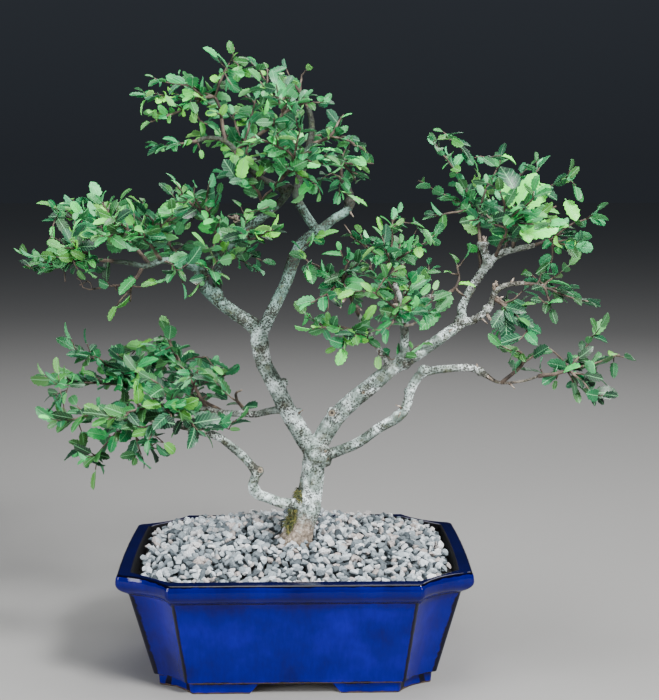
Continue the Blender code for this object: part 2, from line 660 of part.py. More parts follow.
def make_gravel():
    """The gravel top dressing as one mound whose surface is a relief of stones, larger than life."""
    rng = random.Random(SEED)
    outline = pot_inside(SOIL_TOP + GAP, GAP)
    rim = divided(outline, STONE_PITCH)
    mouth = [corner.to_2d() for corner in column_ring(ROOT_HOLE_RADIUS, 0)]
    stones = stone_points(outline, ROOT_HOLE_RADIUS, rng)
    flat = rim + mouth + [Vector(place) for place, _ in stones]
    rises = [0.0] * (len(rim) + len(mouth)) + [rise for _, rise in stones]
    loops = [range(len(rim)), range(len(rim), len(rim) + len(mouth))]
    edges = [(loop[i], loop[(i + 1) % len(loop)]) for loop in loops for i in range(len(loop))]
    found = geometry.delaunay_2d_cdt(flat, edges, [], 1, 1e-7)
    bm = bmesh.new()
    verts = []
    for point, origins in zip(found[0], found[3]):
        z = gravel_surface(point.x, point.y) + rises[origins[0]]
        verts.append(bm.verts.new((point.x, point.y, z)))
    for face in found[2]:
        middle = sum((found[0][i] for i in face), Vector((0, 0))) / 3
        if (middle - Vector(ROOT_CENTRE)).length > ROOT_HOLE_RADIUS * 0.97:
            bm.faces.new([verts[i] for i in face])
    border = [edge for edge in bm.edges if edge.is_boundary]
    grown = bmesh.ops.extrude_edge_only(bm, edges=border)["geom"]
    for vert in [item for item in grown if isinstance(item, bmesh.types.BMVert)]:
        vert.co.z = SOIL_TOP + GAP
    floor = [item for item in grown if isinstance(item, bmesh.types.BMEdge)]
    bmesh.ops.triangle_fill(bm, edges=floor, use_beauty=True, normal=(0, 0, -1))
    return object_of(bm, "gravel", finish("crushed_stone", "#9AA1A8", 0.85))


def limb_rings(points, radii, sides):
    """Rings of a tapered limb, square to its line, turned as little as can be from one to the next."""
    last = len(points) - 1
    side = None
    rings = []
    for i, (point, radius) in enumerate(zip(points, radii)):
        direction = (points[min(i + 1, last)] - points[max(i - 1, 0)]).normalized()
        side = direction.orthogonal() if side is None else side - direction * side.dot(direction)
        side.normalize()
        other = direction.cross(side)
        angles = [math.tau * k / sides for k in range(sides)]
        rings.append([point + radius * (math.cos(a) * side + math.sin(a) * other) for a in angles])
    return rings


def make_limb(name, limb, sides, material=None):
    points = [Vector(p[:3]) for p in limb]
    bm = bmesh.new()
    extrude_rings(bm, limb_rings(points, [p[3] for p in limb], sides))
    return object_of(bm, name, material)


def make_tree():
    """Trunk, root crown and all limbs as one piece of wood."""
    trunk = make_limb("tree", TRUNK, TRUNK_SIDES, finish("elm_bark", "#A9A498", 0.85))
    limbs = []
    for name, limb in LIMBS.items():
        thick = limb[0][3] > THICK_LIMB_RADIUS
        limbs.append(make_limb(name, limb, THICK_LIMB_SIDES if thick else THIN_LIMB_SIDES))
    return union(trunk, limbs, "EXACT")


def bvh_of(obj):
    bm = bmesh.new()
    bm.from_mesh(obj.data)
    tree = BVHTree.FromBMesh(bm)
    bm.free()
    return tree


def place_on(limb, share):
    """Point and direction at a share of a limb's length."""
    points = [Vector(p[:3]) for p in limb]
    lengths = [(b - a).length for a, b in zip(points, points[1:])]
    left = share * sum(lengths)
    for i, length in enumerate(lengths):
        if left <= length or i == len(lengths) - 1:
            along = min(1.0, left / length)
            direction = (points[i + 1] - points[i]).normalized()
            return points[i].lerp(points[i + 1], along), direction
        left -= length
    return points[-1], (points[-1] - points[-2]).normalized()


def twig_seat(wood, limb, share, fork):
    """Where a twig starts: just clear of the bark, with the direction that the bark faces there."""
    heart, direction = place_on(limb, share)
    if share == 1.0:
        outwards = direction
        heart = heart - direction * TWIG_END_DEPTH
    else:
        towards = fork - heart
        outwards = (towards - direction * towards.dot(direction)).normalized()
    spot, normal, _, _ = wood.ray_cast(heart, outwards)
    if normal.dot(outwards) < 0:
        normal.negate()
    return spot + normal * GAP, normal


def nudged(point, reach, rng):
    return point + Vector([rng.uniform(-reach, reach) for _ in range(3)])


def twig_lines(seat, normal, fork, tips, rng):
    """The stem to the first tip and the side twigs to the others, as points with radii."""
    base, middle, thin = TWIG_RADII
    first = seat + normal * TWIG_COLLAR
    lines = []
    for i, tip in enumerate(tips):
        elbow = nudged(fork.lerp(tip, 0.5), TWIG_BEND, rng) + Vector((0, 0, TWIG_ARCH))
        start = [(seat, base), (first, base), (fork, middle)] if i == 0 else [(fork, SIDE_TWIG_START)]
        lines.append(start + [(elbow, between(middle, thin, 0.6)), (tip, thin)])
    return lines


def twig_mesh(line, grow):
    """A twig line as a closed mesh, thicker by a clearance where it is only tried out."""
    bm = bmesh.new()
    points = [p for p, _ in line]
    extrude_rings(bm, limb_rings(points, [r + grow for _, r in line], TWIG_SIDES))
    return bm


def hits(bm, obstacles):
    """Whether a mesh crosses any of the obstacles. It is freed here."""
    tree = BVHTree.FromBMesh(bm)
    bm.free()
    return any(tree.overlap(other) for other in obstacles)


def leaf_frame(line_direction, turn, rng):
    """Directions of a leaf: along its midrib, across it, and out of its upper face."""
    up = Vector((0, 0, 1))
    level = line_direction.cross(up)
    if level.length < 0.25:
        level = Vector((rng.uniform(-1, 1), rng.uniform(-1, 1), 0.1))
    level.normalize()
    spread = math.radians(rng.uniform(*LEAF_SPREAD)) * turn
    lift = Vector((0, 0, rng.uniform(*LEAF_LIFT)))
    along = (line_direction * math.cos(spread) + level * math.sin(spread) + lift).normalized()
    tilt = Vector([rng.uniform(-LEAF_TILT, LEAF_TILT) for _ in range(2)] + [0.0])
    facing = (0.85 * up + tilt + 0.35 * line_direction).normalized()
    across = facing.cross(along)
    if across.length < 0.2:
        across = level
    across.normalize()
    return along, across, along.cross(across)


def leaf_mesh(root, frame, length, width, waves, grow):
    """A blade of even thickness, arched along its length and waved at its edges.

    It is split into the same triangles above and below: base, lower and upper half, tip.
    """
    along, across, normal = frame
    bm = bmesh.new()
    verts = []
    for (share, side), wave in zip(LEAF_OUTLINE, waves):
        offset = side * (width + 2 * grow)
        height = wave + LEAF_THICKNESS / 2 + grow / 2
        verts.append(bm.verts.new(root + along * share * (length + grow) + across * offset + normal * height))
    base, right_low, right_high, tip, left_high, left_low = verts
    corners = [(base, right_low, left_low), (left_low, right_low, right_high)]
    corners += [(left_low, right_high, left_high), (left_high, right_high, tip)]
    faces = [bm.faces.new(triangle) for triangle in corners]
    grown = bmesh.ops.extrude_face_region(bm, geom=faces)["geom"]
    lower = [item for item in grown if isinstance(item, bmesh.types.BMVert)]
    bmesh.ops.translate(bm, verts=lower, vec=-normal * (LEAF_THICKNESS + grow))
    return bm


def leaf_waves(rng):
    """How far each point of a blade's outline stands off its flat plane: an arch with uneven edges."""
    arch = rng.uniform(*LEAF_ARCH)
    waves = []
    for share, side in LEAF_OUTLINE:
        wave = rng.uniform(-LEAF_WAVE, LEAF_WAVE) if side else 0.0
        waves.append(arch * math.sin(math.pi * share) + wave)
    return waves


def leaf_places(line, stem_share):
    """Where leaves grow on a twig line: alternating sides up to the tip, as (point, direction, turn)."""
    points = [p for p, _ in line]
    spans = list(zip(points, points[1:]))
    total = sum((b - a).length for a, b in spans)
    count = max(2, round(total * (1 - stem_share) / LEAF_SPACING))
    places = []
    for k in range(count):
        left = total * between(stem_share, 1.0, (k + 1) / count)
        for a, b in spans:
            if left <= (b - a).length + 1e-9:
                break
            left -= (b - a).length
        direction = (b - a).normalized()
        turn = 0.0 if k == count - 1 else (1 if k % 2 else -1)
        places.append((a + direction * left, direction, turn))
    return places


def grow_leaves(name, line, stem_share, obstacles, own, rng):
    """Leaf objects along one twig line, each turned until it crosses nothing."""
    leaves = []
    for spot, direction, turn in leaf_places(line, stem_share):
        length = rng.uniform(*LEAF_LENGTH)
        width = length * rng.uniform(*LEAF_WIDTH_SHARE)
        for attempt in range(LEAF_TRIES):
            frame = leaf_frame(direction, turn + rng.uniform(-0.1, 0.1) * attempt, rng)
            waves = leaf_waves(rng)
            root = spot - frame[0] * (LEAF_ROOT if turn else END_LEAF_ROOT)
            test = leaf_mesh(root, frame, length, width, waves, LEAF_CLEARANCE)
            if not hits(test, obstacles + own):
                leaf = object_of(leaf_mesh(root, frame, length, width, waves, 0.0), name)
                own.append(bvh_of(leaf))
                leaves.append(leaf)
                break
    return leaves


def grow_spray(name, wood, limb, share, fork, tips, obstacles, material):
    """One leafy spray: a stem, its side twigs and their leaves, fused into one piece.

    EXACT leaves an edge shared by four faces where thin blades meet a twig, so the join is by MANIFOLD.
    """
    rng = random.Random(name)
    fork = Vector(fork)
    tips = [Vector(tip) for tip in tips]
    for attempt in range(SPRAY_TRIES):
        shift = SPRAY_SHIFT * attempt
        bent_fork = nudged(fork, shift, rng)
        bent_tips = [nudged(tip, shift, rng) for tip in tips]
        slide = rng.uniform(-SPRAY_SLIDE, SPRAY_SLIDE) * attempt
        spot = share if share == 1.0 else share + slide
        seat, normal = twig_seat(wood, limb, spot, bent_fork)
        lines = twig_lines(seat, normal, bent_fork, bent_tips, rng)
        if not any(hits(twig_mesh(line, TWIG_CLEARANCE), obstacles) for line in lines):
            break
    twigs = [object_of(twig_mesh(line, 0.0), name) for line in lines]
    twigs[0].data.materials.append(material)
    own = []
    leaves = []
    for i, line in enumerate(lines):
        start = LEAF_START_SIDE if i else LEAF_START_STEM
        leaves += grow_leaves(name, line, start, obstacles, own, rng)
    return union(twigs[0], twigs[1:] + leaves, "MANIFOLD")


def make_foliage(tree):
    """Every spray, each bent clear of the wood and of the sprays before it."""
    wood = bvh_of(tree)
    foliage = finish("elm_leaves", "#3F6B2C", 0.5)
    obstacles = [wood]
    sprays = []
    for pad, rows in SPRAYS.items():
        for number, (limb, share, fork, tips) in enumerate(rows, 1):
            name = "spray_" + pad + "_" + str(number)
            spray = grow_spray(name, wood, LIMBS[limb], share, fork, tips, obstacles, foliage)
            spray.name = name
            obstacles.append(bvh_of(spray))
            sprays.append(spray)
    return sprays


def set_origin(parts):
    """Parents everything to an empty that puts the origin at the bottom centre of the whole."""
    bpy.context.view_layer.update()
    graph = bpy.context.evaluated_depsgraph_get()
    corners = [Vector(c) for part in parts for c in part.evaluated_get(graph).bound_box]
    low = [min(c[i] for c in corners) for i in range(3)]
    high = [max(c[i] for c in corners) for i in range(3)]
    bonsai = bpy.data.objects.new("bonsai", None)
    bpy.context.scene.collection.objects.link(bonsai)
    bonsai.location = (-(low[0] + high[0]) / 2, -(low[1] + high[1]) / 2, -low[2])
    for obj in list(bpy.data.objects):
        if obj != bonsai:
            obj.parent = bonsai


def main():
    clear_scene()
    parts = [make_pot(), make_soil(), make_gravel()]
    screen = finish("drain_mesh_plastic", "#1C1E1D", 0.6)
    for centre, side in zip(drain_centres(), ("left", "right")):
        parts.append(make_drain_screen(centre, "drain_screen_" + side, screen))
    tree = make_tree()
    parts.append(tree)
    parts += make_foliage(tree)
    set_origin(parts)


main()
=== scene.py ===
"""The looks of a Chinese elm bonsai in a blue glazed pot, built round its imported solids.

Tables of the tree are in millimetres from the pot's centre on the table top, as in the part's source, and
other lengths are in metres. HOME is where that centre lies in the frame, and a piece is moved there as it is
finished.
"""

import math
import random
from functools import partial

import bmesh
import bpy
from mathutils import Matrix, Vector, kdtree, noise
from mathutils.bvhtree import BVHTree


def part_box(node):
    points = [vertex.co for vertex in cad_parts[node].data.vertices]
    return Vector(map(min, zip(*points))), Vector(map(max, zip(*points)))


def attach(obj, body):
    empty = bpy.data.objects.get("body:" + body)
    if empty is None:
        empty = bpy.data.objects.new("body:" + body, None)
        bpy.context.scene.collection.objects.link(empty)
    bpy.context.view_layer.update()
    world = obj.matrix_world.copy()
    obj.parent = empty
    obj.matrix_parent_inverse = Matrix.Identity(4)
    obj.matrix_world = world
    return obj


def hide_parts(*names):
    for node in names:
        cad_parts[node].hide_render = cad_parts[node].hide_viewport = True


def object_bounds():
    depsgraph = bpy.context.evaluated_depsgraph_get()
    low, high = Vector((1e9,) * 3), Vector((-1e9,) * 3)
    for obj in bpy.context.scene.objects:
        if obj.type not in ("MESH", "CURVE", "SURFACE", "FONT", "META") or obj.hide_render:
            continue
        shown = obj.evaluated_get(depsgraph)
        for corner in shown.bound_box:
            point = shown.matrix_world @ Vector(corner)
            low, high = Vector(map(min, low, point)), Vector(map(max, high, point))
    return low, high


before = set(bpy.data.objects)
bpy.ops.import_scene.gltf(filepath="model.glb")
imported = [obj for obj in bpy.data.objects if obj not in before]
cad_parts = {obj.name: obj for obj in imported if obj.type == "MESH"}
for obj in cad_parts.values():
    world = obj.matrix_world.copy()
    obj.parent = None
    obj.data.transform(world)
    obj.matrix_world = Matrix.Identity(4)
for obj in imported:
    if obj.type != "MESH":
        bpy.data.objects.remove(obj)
CAD_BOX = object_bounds()
POT_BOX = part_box("pot")
HOME = Vector(((POT_BOX[0].x + POT_BOX[1].x) / 2, (POT_BOX[0].y + POT_BOX[1].y) / 2, POT_BOX[0].z))
UP = Vector((0, 0, 1))

# The pot, over its lip, as in the part's source. Pairs are along the front and along the ends.
RIM = (0.1330, 0.10348)
END_BOW = 0.0016  # how far the two ends belly out
POT_HEIGHT = 0.092
RIM_CUT = (0.0405, 0.030)
MOUTH_CUT = (0.031, 0.0265)
BASE_CUT = (0.0263, 0.021)
CORNER_SCOOP = 0.11
CORNER_SEGMENTS = 8
WALL_TAPER = 0.0256
LIP_OVERHANG = (0.0093, 0.008)
NECK_HEIGHT = 0.0757
NECK_CUT_SHARE = 0.86
COVE = (0.0010, 0.0040)  # the hollow under the neck: how deep it is and how far down it starts
RIM_WIDTH = (0.0123, 0.012)
FOOT_HEIGHT = 0.0080
FOOT_STEP = 0.002
FOOT_INSET = 0.0035
FOOT_DRAFT = 0.0006
FOOT_WIDTH = 0.011
FOOT_RECESS_DEPTH = 0.008
FLOOR_TOP = 0.0175
FLOOR_TAPER = (0.022, 0.0215)
FLOOR_CUT = (0.024, 0.0215)
FOOT_OPENING_HEIGHT = 0.0075
FOOT_OPENING_SLOPE = 0.008
FOOT_OPENINGS = (0.028, 0.020)
DRAIN_RADIUS = 0.009
DRAIN_X = 0.052
CREASE_BEVEL = 0.0022
CREASE_TURN = math.radians(30)  # upright edges that turn more than this are rounded
BELOW = -0.002  # where cuts into the pot's underside start
CLOSE = 0.001  # a face within this of a level counts as lying on it
BEYOND = 0.3  # past the pot's walls, for cuts that run right through

# The rim's inner edge: height, and how far in from the inner wall.
INNER_LIP = [(POT_HEIGHT, -0.0016), (POT_HEIGHT - 0.0005, -0.0006), (POT_HEIGHT - 0.0018, 0.0)]

# The rolled lip from its neck up: share of the overhang that is left, and height above the neck.
LIP_PROFILE = [
    (0.86, 0.001), (0.52, 0.0024), (0.22, 0.0044), (0.05, 0.0066), (0.0, 0.0085), (0.015, 0.011),
    (0.05, 0.013), (0.11, 0.0147), (0.2, 0.0158), (0.33, 0.0163),
]

# How far the black line where the glaze is thin reaches from an upright crease, at the front and at the ends.
CREASE_REACH = (0.0012, 0.0007)

# What fills the pot.
GAP = 0.0003  # between the pot's inside, the soil and the gravel
SOIL_TOP = 0.083
ROOT_CENTRE = Vector((-0.0026, -0.0030))
TRUNK_AT_GRAVEL = Vector((0.0010, -0.0025))
ROOT_CLEARANCE = 0.0145  # no stone's middle lies nearer to the trunk's
GRAVEL_EDGE = 0.0872  # height of the gravel along the rim
GRAVEL_MOUND = 0.0150  # how much higher its crest is
GRAVEL_CREST_Y = 0.030
GRAVEL_REACH = (0.126, 0.102)  # how far from the crest the mound has run out, sideways and to the front
STONE_ROWS, STONE_COLUMNS = 20, 24  # to each side of the middle, enough to cover the pot
BED_DEPTH = 0.0060  # of the grit under the mound's surface
BED_SHARES = (1.0, 0.93, 0.85, 0.76, 0.66, 0.55, 0.44, 0.33, 0.22, 0.11)  # its rings, as shares of the rim's

# The wood's skin, and where it is young, brown at the foot, or green and darker under the foliage, partly
# from algae and partly as painted shade.
VOXEL = 0.00088
YOUNG_RADIUS = 0.0016  # wood up to this radius has young bark, and to twice as much above YOUNG_HEIGHT
YOUNG_HEIGHT = 0.36
YOUNG_SPAN = 0.0020  # how much thicker wood is whose bark is fully old
FOOT_TOP, FOOT_FADE = 0.121, 0.009  # how high the brown skin reaches, and over what height it fades
# The green darkening under the foliage that this reaches over is partly painted shade.
FILM_AND_SHADE = ((0.040, 0.026), (0.240, 0.290))  # where the film starts and where it is whole: x and z in the frame
WOOD_MAPS = ("girth", "foot", "scar", "crack")  # how old, brown, cut and cracked each place of the bark is

# The camera: its elevation and turn in degrees, where it looks and its lens in millimetres, and how far away
# it stands.
CAMERA_ANGLES = (7.72, -1.39)
CAMERA_AIM = (27.1, 0, 248.8)
CAMERA_LENS, CAMERA_SENSOR = 72, 36
CAMERA_DISTANCE = 1.0862
LIGHT_AIM = 0.22  # height of the tree's middle, which every light faces

# Foliage: radii of twigs from their foot to their tip, and distances to keep.
STEM_RADIUS, FORK_RADIUS, SIDE_RADIUS, TWIG_RADIUS = 0.0016, 0.0013, 0.0010, 0.0009
SIDE_TIP_RADIUS, TIP_RADIUS = 0.00055, 0.00045
BOX_MARGIN = 0.0024  # no leaf's tip comes nearer to the box of the solids than this, so its wave stays inside
TWIG_MARGIN = 0.004
WOOD_GAP = 0.0006
LINE_STEP, TWIG_STEP = 0.003, 0.004  # between the places of a limb's line, and of a twig's
FILL_REACH = 0.055  # how far apart two tips may be for a twig to fill the gap between them
FILL_GAP = 0.0075  # how far the nearest leaf has to be
GAP_LIMIT, TIP_LIMIT = 0.040, 0.080  # the longest twig into a gap, and to a tip of EXTRA_TIPS
SHORTEST_TWIG, SHORTEST_FORKED_TWIG = 0.006, 0.014
SWAYS_A_METRE, SWAY = 130, 0.0008  # how often and how far a twig bends aside
LEAF_THICKNESS = 0.022  # as a share of a leaf's length, as real leaves are too thin to show an edge
MOSS_TUFTS = 620
SPLINTERS_A_STUB = 9
GRAVEL_SEED, SPUR_SEED, MOSS_SEED, LEAF_SEED = 17, 23, 5, 3
WANDER_SEED = 29  # Blender's noise vectors, which bend the twigs, are otherwise seeded by the clock

# Limbs, as points (x, y, z, radius) along the heart of the wood.
TRUNK = [
    (-2.6, -3, 50, 12.5), (-2.6, -3, 86, 15.6), (1.2, -3, 99, 13), (4.6, -2, 109, 11), (10, 0, 124, 10.4),
    (13, 0, 144, 9.6), (15, 0, 162, 9.4), (17.5, 0, 179, 8.6),
]
LIMBS = {
    "left_leader": [
        (15, 0, 166, 7.6), (2, 2, 188, 7.3), (-8, 5, 205, 6.9), (-15, 8, 220, 6.7), (-24, 10, 237, 6.4),
        (-27, 11, 251, 6.8), (-29, 11.5, 264, 6.7), (-45, 8, 276, 5.4), (-62, 4, 290, 5.1), (-71, 0, 301, 5),
        (-72, -2, 311, 4.6), (-64, -4, 319, 4), (-51, -6, 330, 3.8), (-38, -6, 341, 3.8), (-21, -2, 354, 3.4),
        (-8, 2, 366, 3.4), (-3.5, 4, 374, 3.2),
    ],
    "leader_stub": [(-39, -6, 340, 3), (-44, -9, 350, 2.6)],
    "crown_left": [
        (-5, 3.5, 370, 3.1), (-17, 0, 377, 2.8), (-27, -4, 382, 2.6), (-37, -8, 392, 2.4),
        (-45, -10, 403, 2.3), (-54, -13, 410, 2), (-66, -16, 411, 1.8), (-74, -18, 408, 1.6),
    ],
    "left_arm_low": [
        (-70, 0, 309, 4), (-79, -8, 315, 3.3), (-89, -14, 318, 3.1), (-99, -20, 320, 2.7),
        (-111, -25, 316, 2.3), (-124, -29, 319, 2), (-135, -32, 320, 1.8),
    ],
    "left_arm_back": [(-60, 5, 290, 3.9), (-60, 22, 308, 3.3), (-57, 36, 318, 2.6)],
    "rear_leader": [
        (-28, 11, 257, 5.5), (-15, 20, 282, 5), (-7, 26, 298, 4.8), (-2, 30, 313, 5.3), (3, 33, 325, 4.8),
        (12, 36, 334, 5.1), (20, 38, 339, 4.4), (31, 42, 348, 3.7), (41, 45, 354, 3.6), (45, 47, 362, 3.6),
        (43, 48, 371, 3.2), (37, 46, 382, 2.5),
    ],
    "rear_leader_up": [
        (20, 37, 336, 4), (10, 34, 351, 3.7), (3, 30, 363, 3.5), (2, 27, 372, 3.4), (7, 28, 389, 3.2),
        (12, 28, 406, 3), (14, 28, 423, 2.6), (11, 26, 436, 2.2),
    ],
    "right_arm": [
        (15, 0, 168, 7.8), (30, -4, 194, 7.5), (44, -10, 210, 7), (59, -14, 223, 6.6), (72, -17, 235, 6.1),
        (84, -19, 243, 5.7), (95, -20, 249, 4.8), (112, -20, 261, 4.4), (126.5, -18, 272, 4.3),
        (128, -14.5, 283, 3.6), (134, -10, 295, 3.3), (143, -6, 308, 3.3), (151, -3, 318, 3.2),
        (160, -2, 324, 2.9), (171, -2, 327, 2.6), (185, -4, 330, 2.2),
    ],
    "right_stub": [(149, -4, 315, 3.3), (145, -2, 330, 3.3)],
    "right_thin": [
        (125, -18, 271, 3.4), (139, -22, 276, 2.8), (148, -25, 285, 2.5), (152, -27, 297, 2.4),
        (162, -28, 302, 2), (174, -28, 303, 1.8),
    ],
    "low_right": [
        (16, -2, 164, 5.2), (37, -14, 173, 4.4), (51, -20, 181, 4.1), (64, -26, 192, 4.1),
        (78, -30, 201, 4.1), (84, -33, 209, 3.9), (87, -35, 221, 3.6), (91.5, -36.5, 231, 3.6),
        (98, -38, 237, 3.5), (116, -41, 240, 2.9), (130, -43, 241, 2.8), (139, -44, 238, 2.5),
        (150, -46, 231, 1.5), (159, -47, 230, 1.3), (172, -49, 232, 1.15), (183, -50, 236, 1.1),
    ],
    "low_left": [
        (10, -2, 128, 5), (-8, -12, 130, 4.5), (-20, -16, 135, 4.1), (-30, -19, 140, 4.1),
        (-32.5, -21, 147, 3.9), (-30, -23, 157, 3.8), (-37, -26, 168, 3.5), (-48, -30, 179, 3.3),
        (-59, -34, 188, 3), (-71, -38, 192, 2.9), (-81, -41, 196, 2.5), (-95, -44, 199, 2.1),
        (-108, -47, 203, 1.8),
    ],
    "mid_left": [
        (-5, 4, 202, 3.6), (-20, 10, 199, 3), (-31, 14, 196, 2.8), (-46, 18, 196, 2.8), (-59, 22, 196, 2.6),
        (-75, 18, 201, 2.4), (-92, 12, 209, 2.1), (-105, 8, 214, 1.8),
    ],
    "centre_up": [
        (83, -19, 241, 3.8), (84, -18, 255, 3.6), (84, -17, 266, 3.5), (83, -17, 277, 3.7),
        (82, -16, 286, 2.8), (76, -14, 302, 2.2),
    ],
    "centre_side": [(82.5, -16.5, 285, 2.4), (104, -18, 292, 2), (115, -20, 293, 1.8)],
    "centre_thin": [(75, -16.5, 235, 2.8), (65, -20, 251, 2.4), (55, -24, 267, 2.3), (48, -27, 280, 1.9)],
}

# Leafy sprays of each cloud: their limb, the share of its length where they leave it, their fork and tips.
SPRAYS = {
    "crown": [
        ("crown_left", 1, (-82, -21, 407), [(-93, -27, 405)]),
        (
            "crown_left", 0.72, (-60, 2, 442),
            [(-107, -16, 423), (-111, -6, 442), (-102, 8, 454), (-47, 4, 470)],
        ), ("crown_left", 0.6, (-8, -24, 429), [(-28, -16, 466), (-13, -30, 450), (22, -34, 437)]),
        ("rear_leader_up", 1, (5, 27, 447), [(-18, 20, 460), (6, 38, 461)]),
        ("rear_leader_up", 0.72, (28, 24, 413), [(39, 34, 430), (57, 14, 400)]),
        ("rear_leader", 1, (38, 47, 392), [(50, 64, 378), (63, 40, 392)]),
        ("crown_left", 0.12, (0, -32, 395), [(-23, -50, 409), (5, -52, 418), (37, -46, 396)]),
        ("rear_leader_up", 0.45, (0, 56, 407), [(-39, 70, 433), (-7, 78, 439), (25, 78, 415)]),
        ("left_leader", 0.9, (-28, -18, 373), [(-46, -30, 386)]),
        ("crown_left", 0.34, (-40, 24, 404), [(-70, 36, 410), (-48, 44, 430), (-30, 40, 442)]),
    ],
    "left_shelf": [
        ("left_arm_low", 1, (-146, -34, 322), [(-169, -54, 332), (-192, -42, 325), (-194, -26, 314)]),
        ("left_arm_low", 0.62, (-132, -2, 341), [(-149, 10, 366), (-170, 14, 358), (-178, -8, 354)]),
        ("left_arm_low", 0.5, (-106, -46, 337), [(-85, -60, 358), (-130, -68, 351), (-144, -62, 340)]),
        ("left_arm_low", 0.2, (-100, 34, 332), [(-81, 48, 363), (-124, 58, 359), (-147, 46, 344)]),
        ("left_arm_low", 0.7, (-122, -24, 302), [(-125, -10, 288), (-151, -28, 299)]),
        ("left_leader", 0.745, (-66, -10, 352), [(-86, -2, 369), (-63, -14, 380)]),
        ("left_leader", 0.83, (-33, -28, 336), [(-17, -38, 343)]),
        ("left_arm_back", 1, (-53, 46, 327), [(-73, 62, 347), (-26, 56, 314)]),
    ],
    "low_shelf": [
        ("low_left", 1, (-120, -49, 206), [(-113, -62, 180), (-148, -52, 177), (-175, -54, 203)]),
        (
            "low_left", 0.78, (-89, -72, 218),
            [(-64, -80, 198), (-104, -92, 197), (-133, -92, 212), (-103, -84, 240)],
        ), ("mid_left", 1, (-118, 4, 219), [(-134, -26, 250), (-170, 4, 249), (-182, -12, 226)]),
        ("mid_left", 0.62, (-92, 18, 237), [(-123, 34, 247), (-100, 20, 261), (-69, 6, 243)]),
        ("mid_left", 0.5, (-84, 56, 207), [(-55, 60, 221), (-95, 78, 231), (-144, 70, 215)]),
        ("mid_left", 0.32, (-45, -8, 212), [(-40, -26, 222)]),
        ("mid_left", 0.84, (-108, 30, 196), [(-134, 36, 188), (-150, 26, 196)]),
    ],
    "centre_tuft": [
        ("centre_up", 1, (73, -12, 316), [(42, -16, 338), (75, -4, 350), (103, -10, 334)]),
        ("centre_thin", 1, (36, -36, 303), [(12, -54, 291), (8, -38, 322), (40, -56, 322)]),
        ("centre_thin", 0.4, (43, -44, 270), [(37, -56, 258), (13, -56, 272)]),
        ("centre_side", 1, (122, -22, 299), [(124, -12, 316), (129, -34, 293)]),
        ("centre_up", 0.6, (77, -52, 285), [(100, -64, 284), (67, -78, 274), (56, -74, 301), (85, -72, 309)]),
        ("centre_up", 0.42, (80, 20, 283), [(57, 42, 314), (85, 46, 328), (110, 40, 308)]),
    ],
    "right_crown": [
        ("right_arm", 0.8, (142, 14, 352), [(109, 2, 352), (97, 24, 379), (110, 18, 407), (160, 26, 390)]),
        ("right_arm", 1, (196, -5, 334), [(196, -12, 317), (212, -22, 330), (226, -6, 351)]),
        ("right_arm", 0.93, (170, -12, 356), [(187, -4, 389), (206, -18, 381)]),
        (
            "right_arm", 0.87, (157, -40, 347),
            [(123, -50, 350), (149, -62, 373), (175, -60, 369), (187, -56, 347)],
        ), ("right_arm", 0.9, (172, 34, 342), [(146, 50, 377), (183, 60, 385), (211, 52, 358)]),
    ],
    "far_twig": [
        ("right_thin", 1, (187, -30, 300), [(191, -44, 286), (216, -34, 289), (198, -12, 306)]),
        ("right_thin", 0.55, (160, -36, 284), [(155, -30, 268), (174, -44, 267)]),
        (
            "low_right", 1, (203, -51, 240),
            [(189, -38, 256), (222, -46, 265), (220, -62, 224), (241, -54, 252)],
        ), ("low_right", 0.86, (168, -58, 246), [(163, -66, 257), (184, -66, 257)]),
    ],
}

# Old knots and the callus round cut limbs, as balls (x, y, z, radius) in the skin of the wood.
KNOTS = [
    (-28, -22, 158, 4.4), (-8.5, 4, 223, 3.6), (-9.5, 4, 219, 3), (3.5, 0, 201, 2.4), (29.5, -9, 200.5, 5.2),
    (17, -4, 168, 10), (23, -6, 163, 5.8), (59, -19, 226, 3.2), (86, -24, 220, 3.2), (83, -20, 243, 7.2),
    (97, -38, 238, 4.6), (127, -18, 273, 5.2), (-27, 9, 254, 7.4), (-71, 0, 305, 5.4), (-60, 1, 292, 5.6),
    (149, -4, 316, 4.4), (145, -2, 330, 4.4), (84, -17, 279, 5.2), (20, 36, 338, 5.4), (44, 46, 361, 4.4),
    (-4, 3, 373, 4.2), (139, -44, 238, 3.4), (146, -24, 283, 3.6), (8, -6, 131, 6.2), (78, -31, 202, 4.6),
    (-31, -20, 143, 4.6),
]

# Old cuts and holes in the bark, as for the knots.
SCARS = [
    (-26, -26, 160, 2.4), (28.5, -14, 201.8, 2.8), (52.8, -19, 218.5, 1.4), (25.5, -13, 165, 1.7),
    (27.5, -11, 158.5, 1.5), (24, -11, 171, 1.3), (-43.5, -9, 350.5, 3), (145, -2, 333.5, 3.6),
    (137, -20, 271, 2.6), (84, -20, 281, 3),
]

# Places where the bark is cracked, flaky and dark.
CRACKED = [
    (28, -8, 168, 6.5), (26, -9, 160, 5.5), (20, -12, 172, 5), (6, -3, 150, 5), (4.5, -4, 140, 5.5),
    (3, -5, 132, 5), (8, -4, 172, 4.6), (84, -24, 240, 6.5), (92, -22, 246, 6), (126, -19, 272, 7),
    (137, -22, 275, 8), (147, -4, 328, 9), (148, -4, 316, 9), (143, -8, 304, 9), (138, -12, 294, 8),
    (-28, 11, 252, 5), (-8, 5, 222, 4), (45, 46, 360, 7), (96, -38, 237, 7), (140, -44, 238, 6),
    (-4, 3, 372, 6), (-70, -2, 308, 6), (-62, 2, 294, 6.5), (82, -20, 280, 8), (152, -27, 290, 8),
    (84, -20, 266, 6), (155, -1, 335, 8), (-50, 6, 270, 4),
]

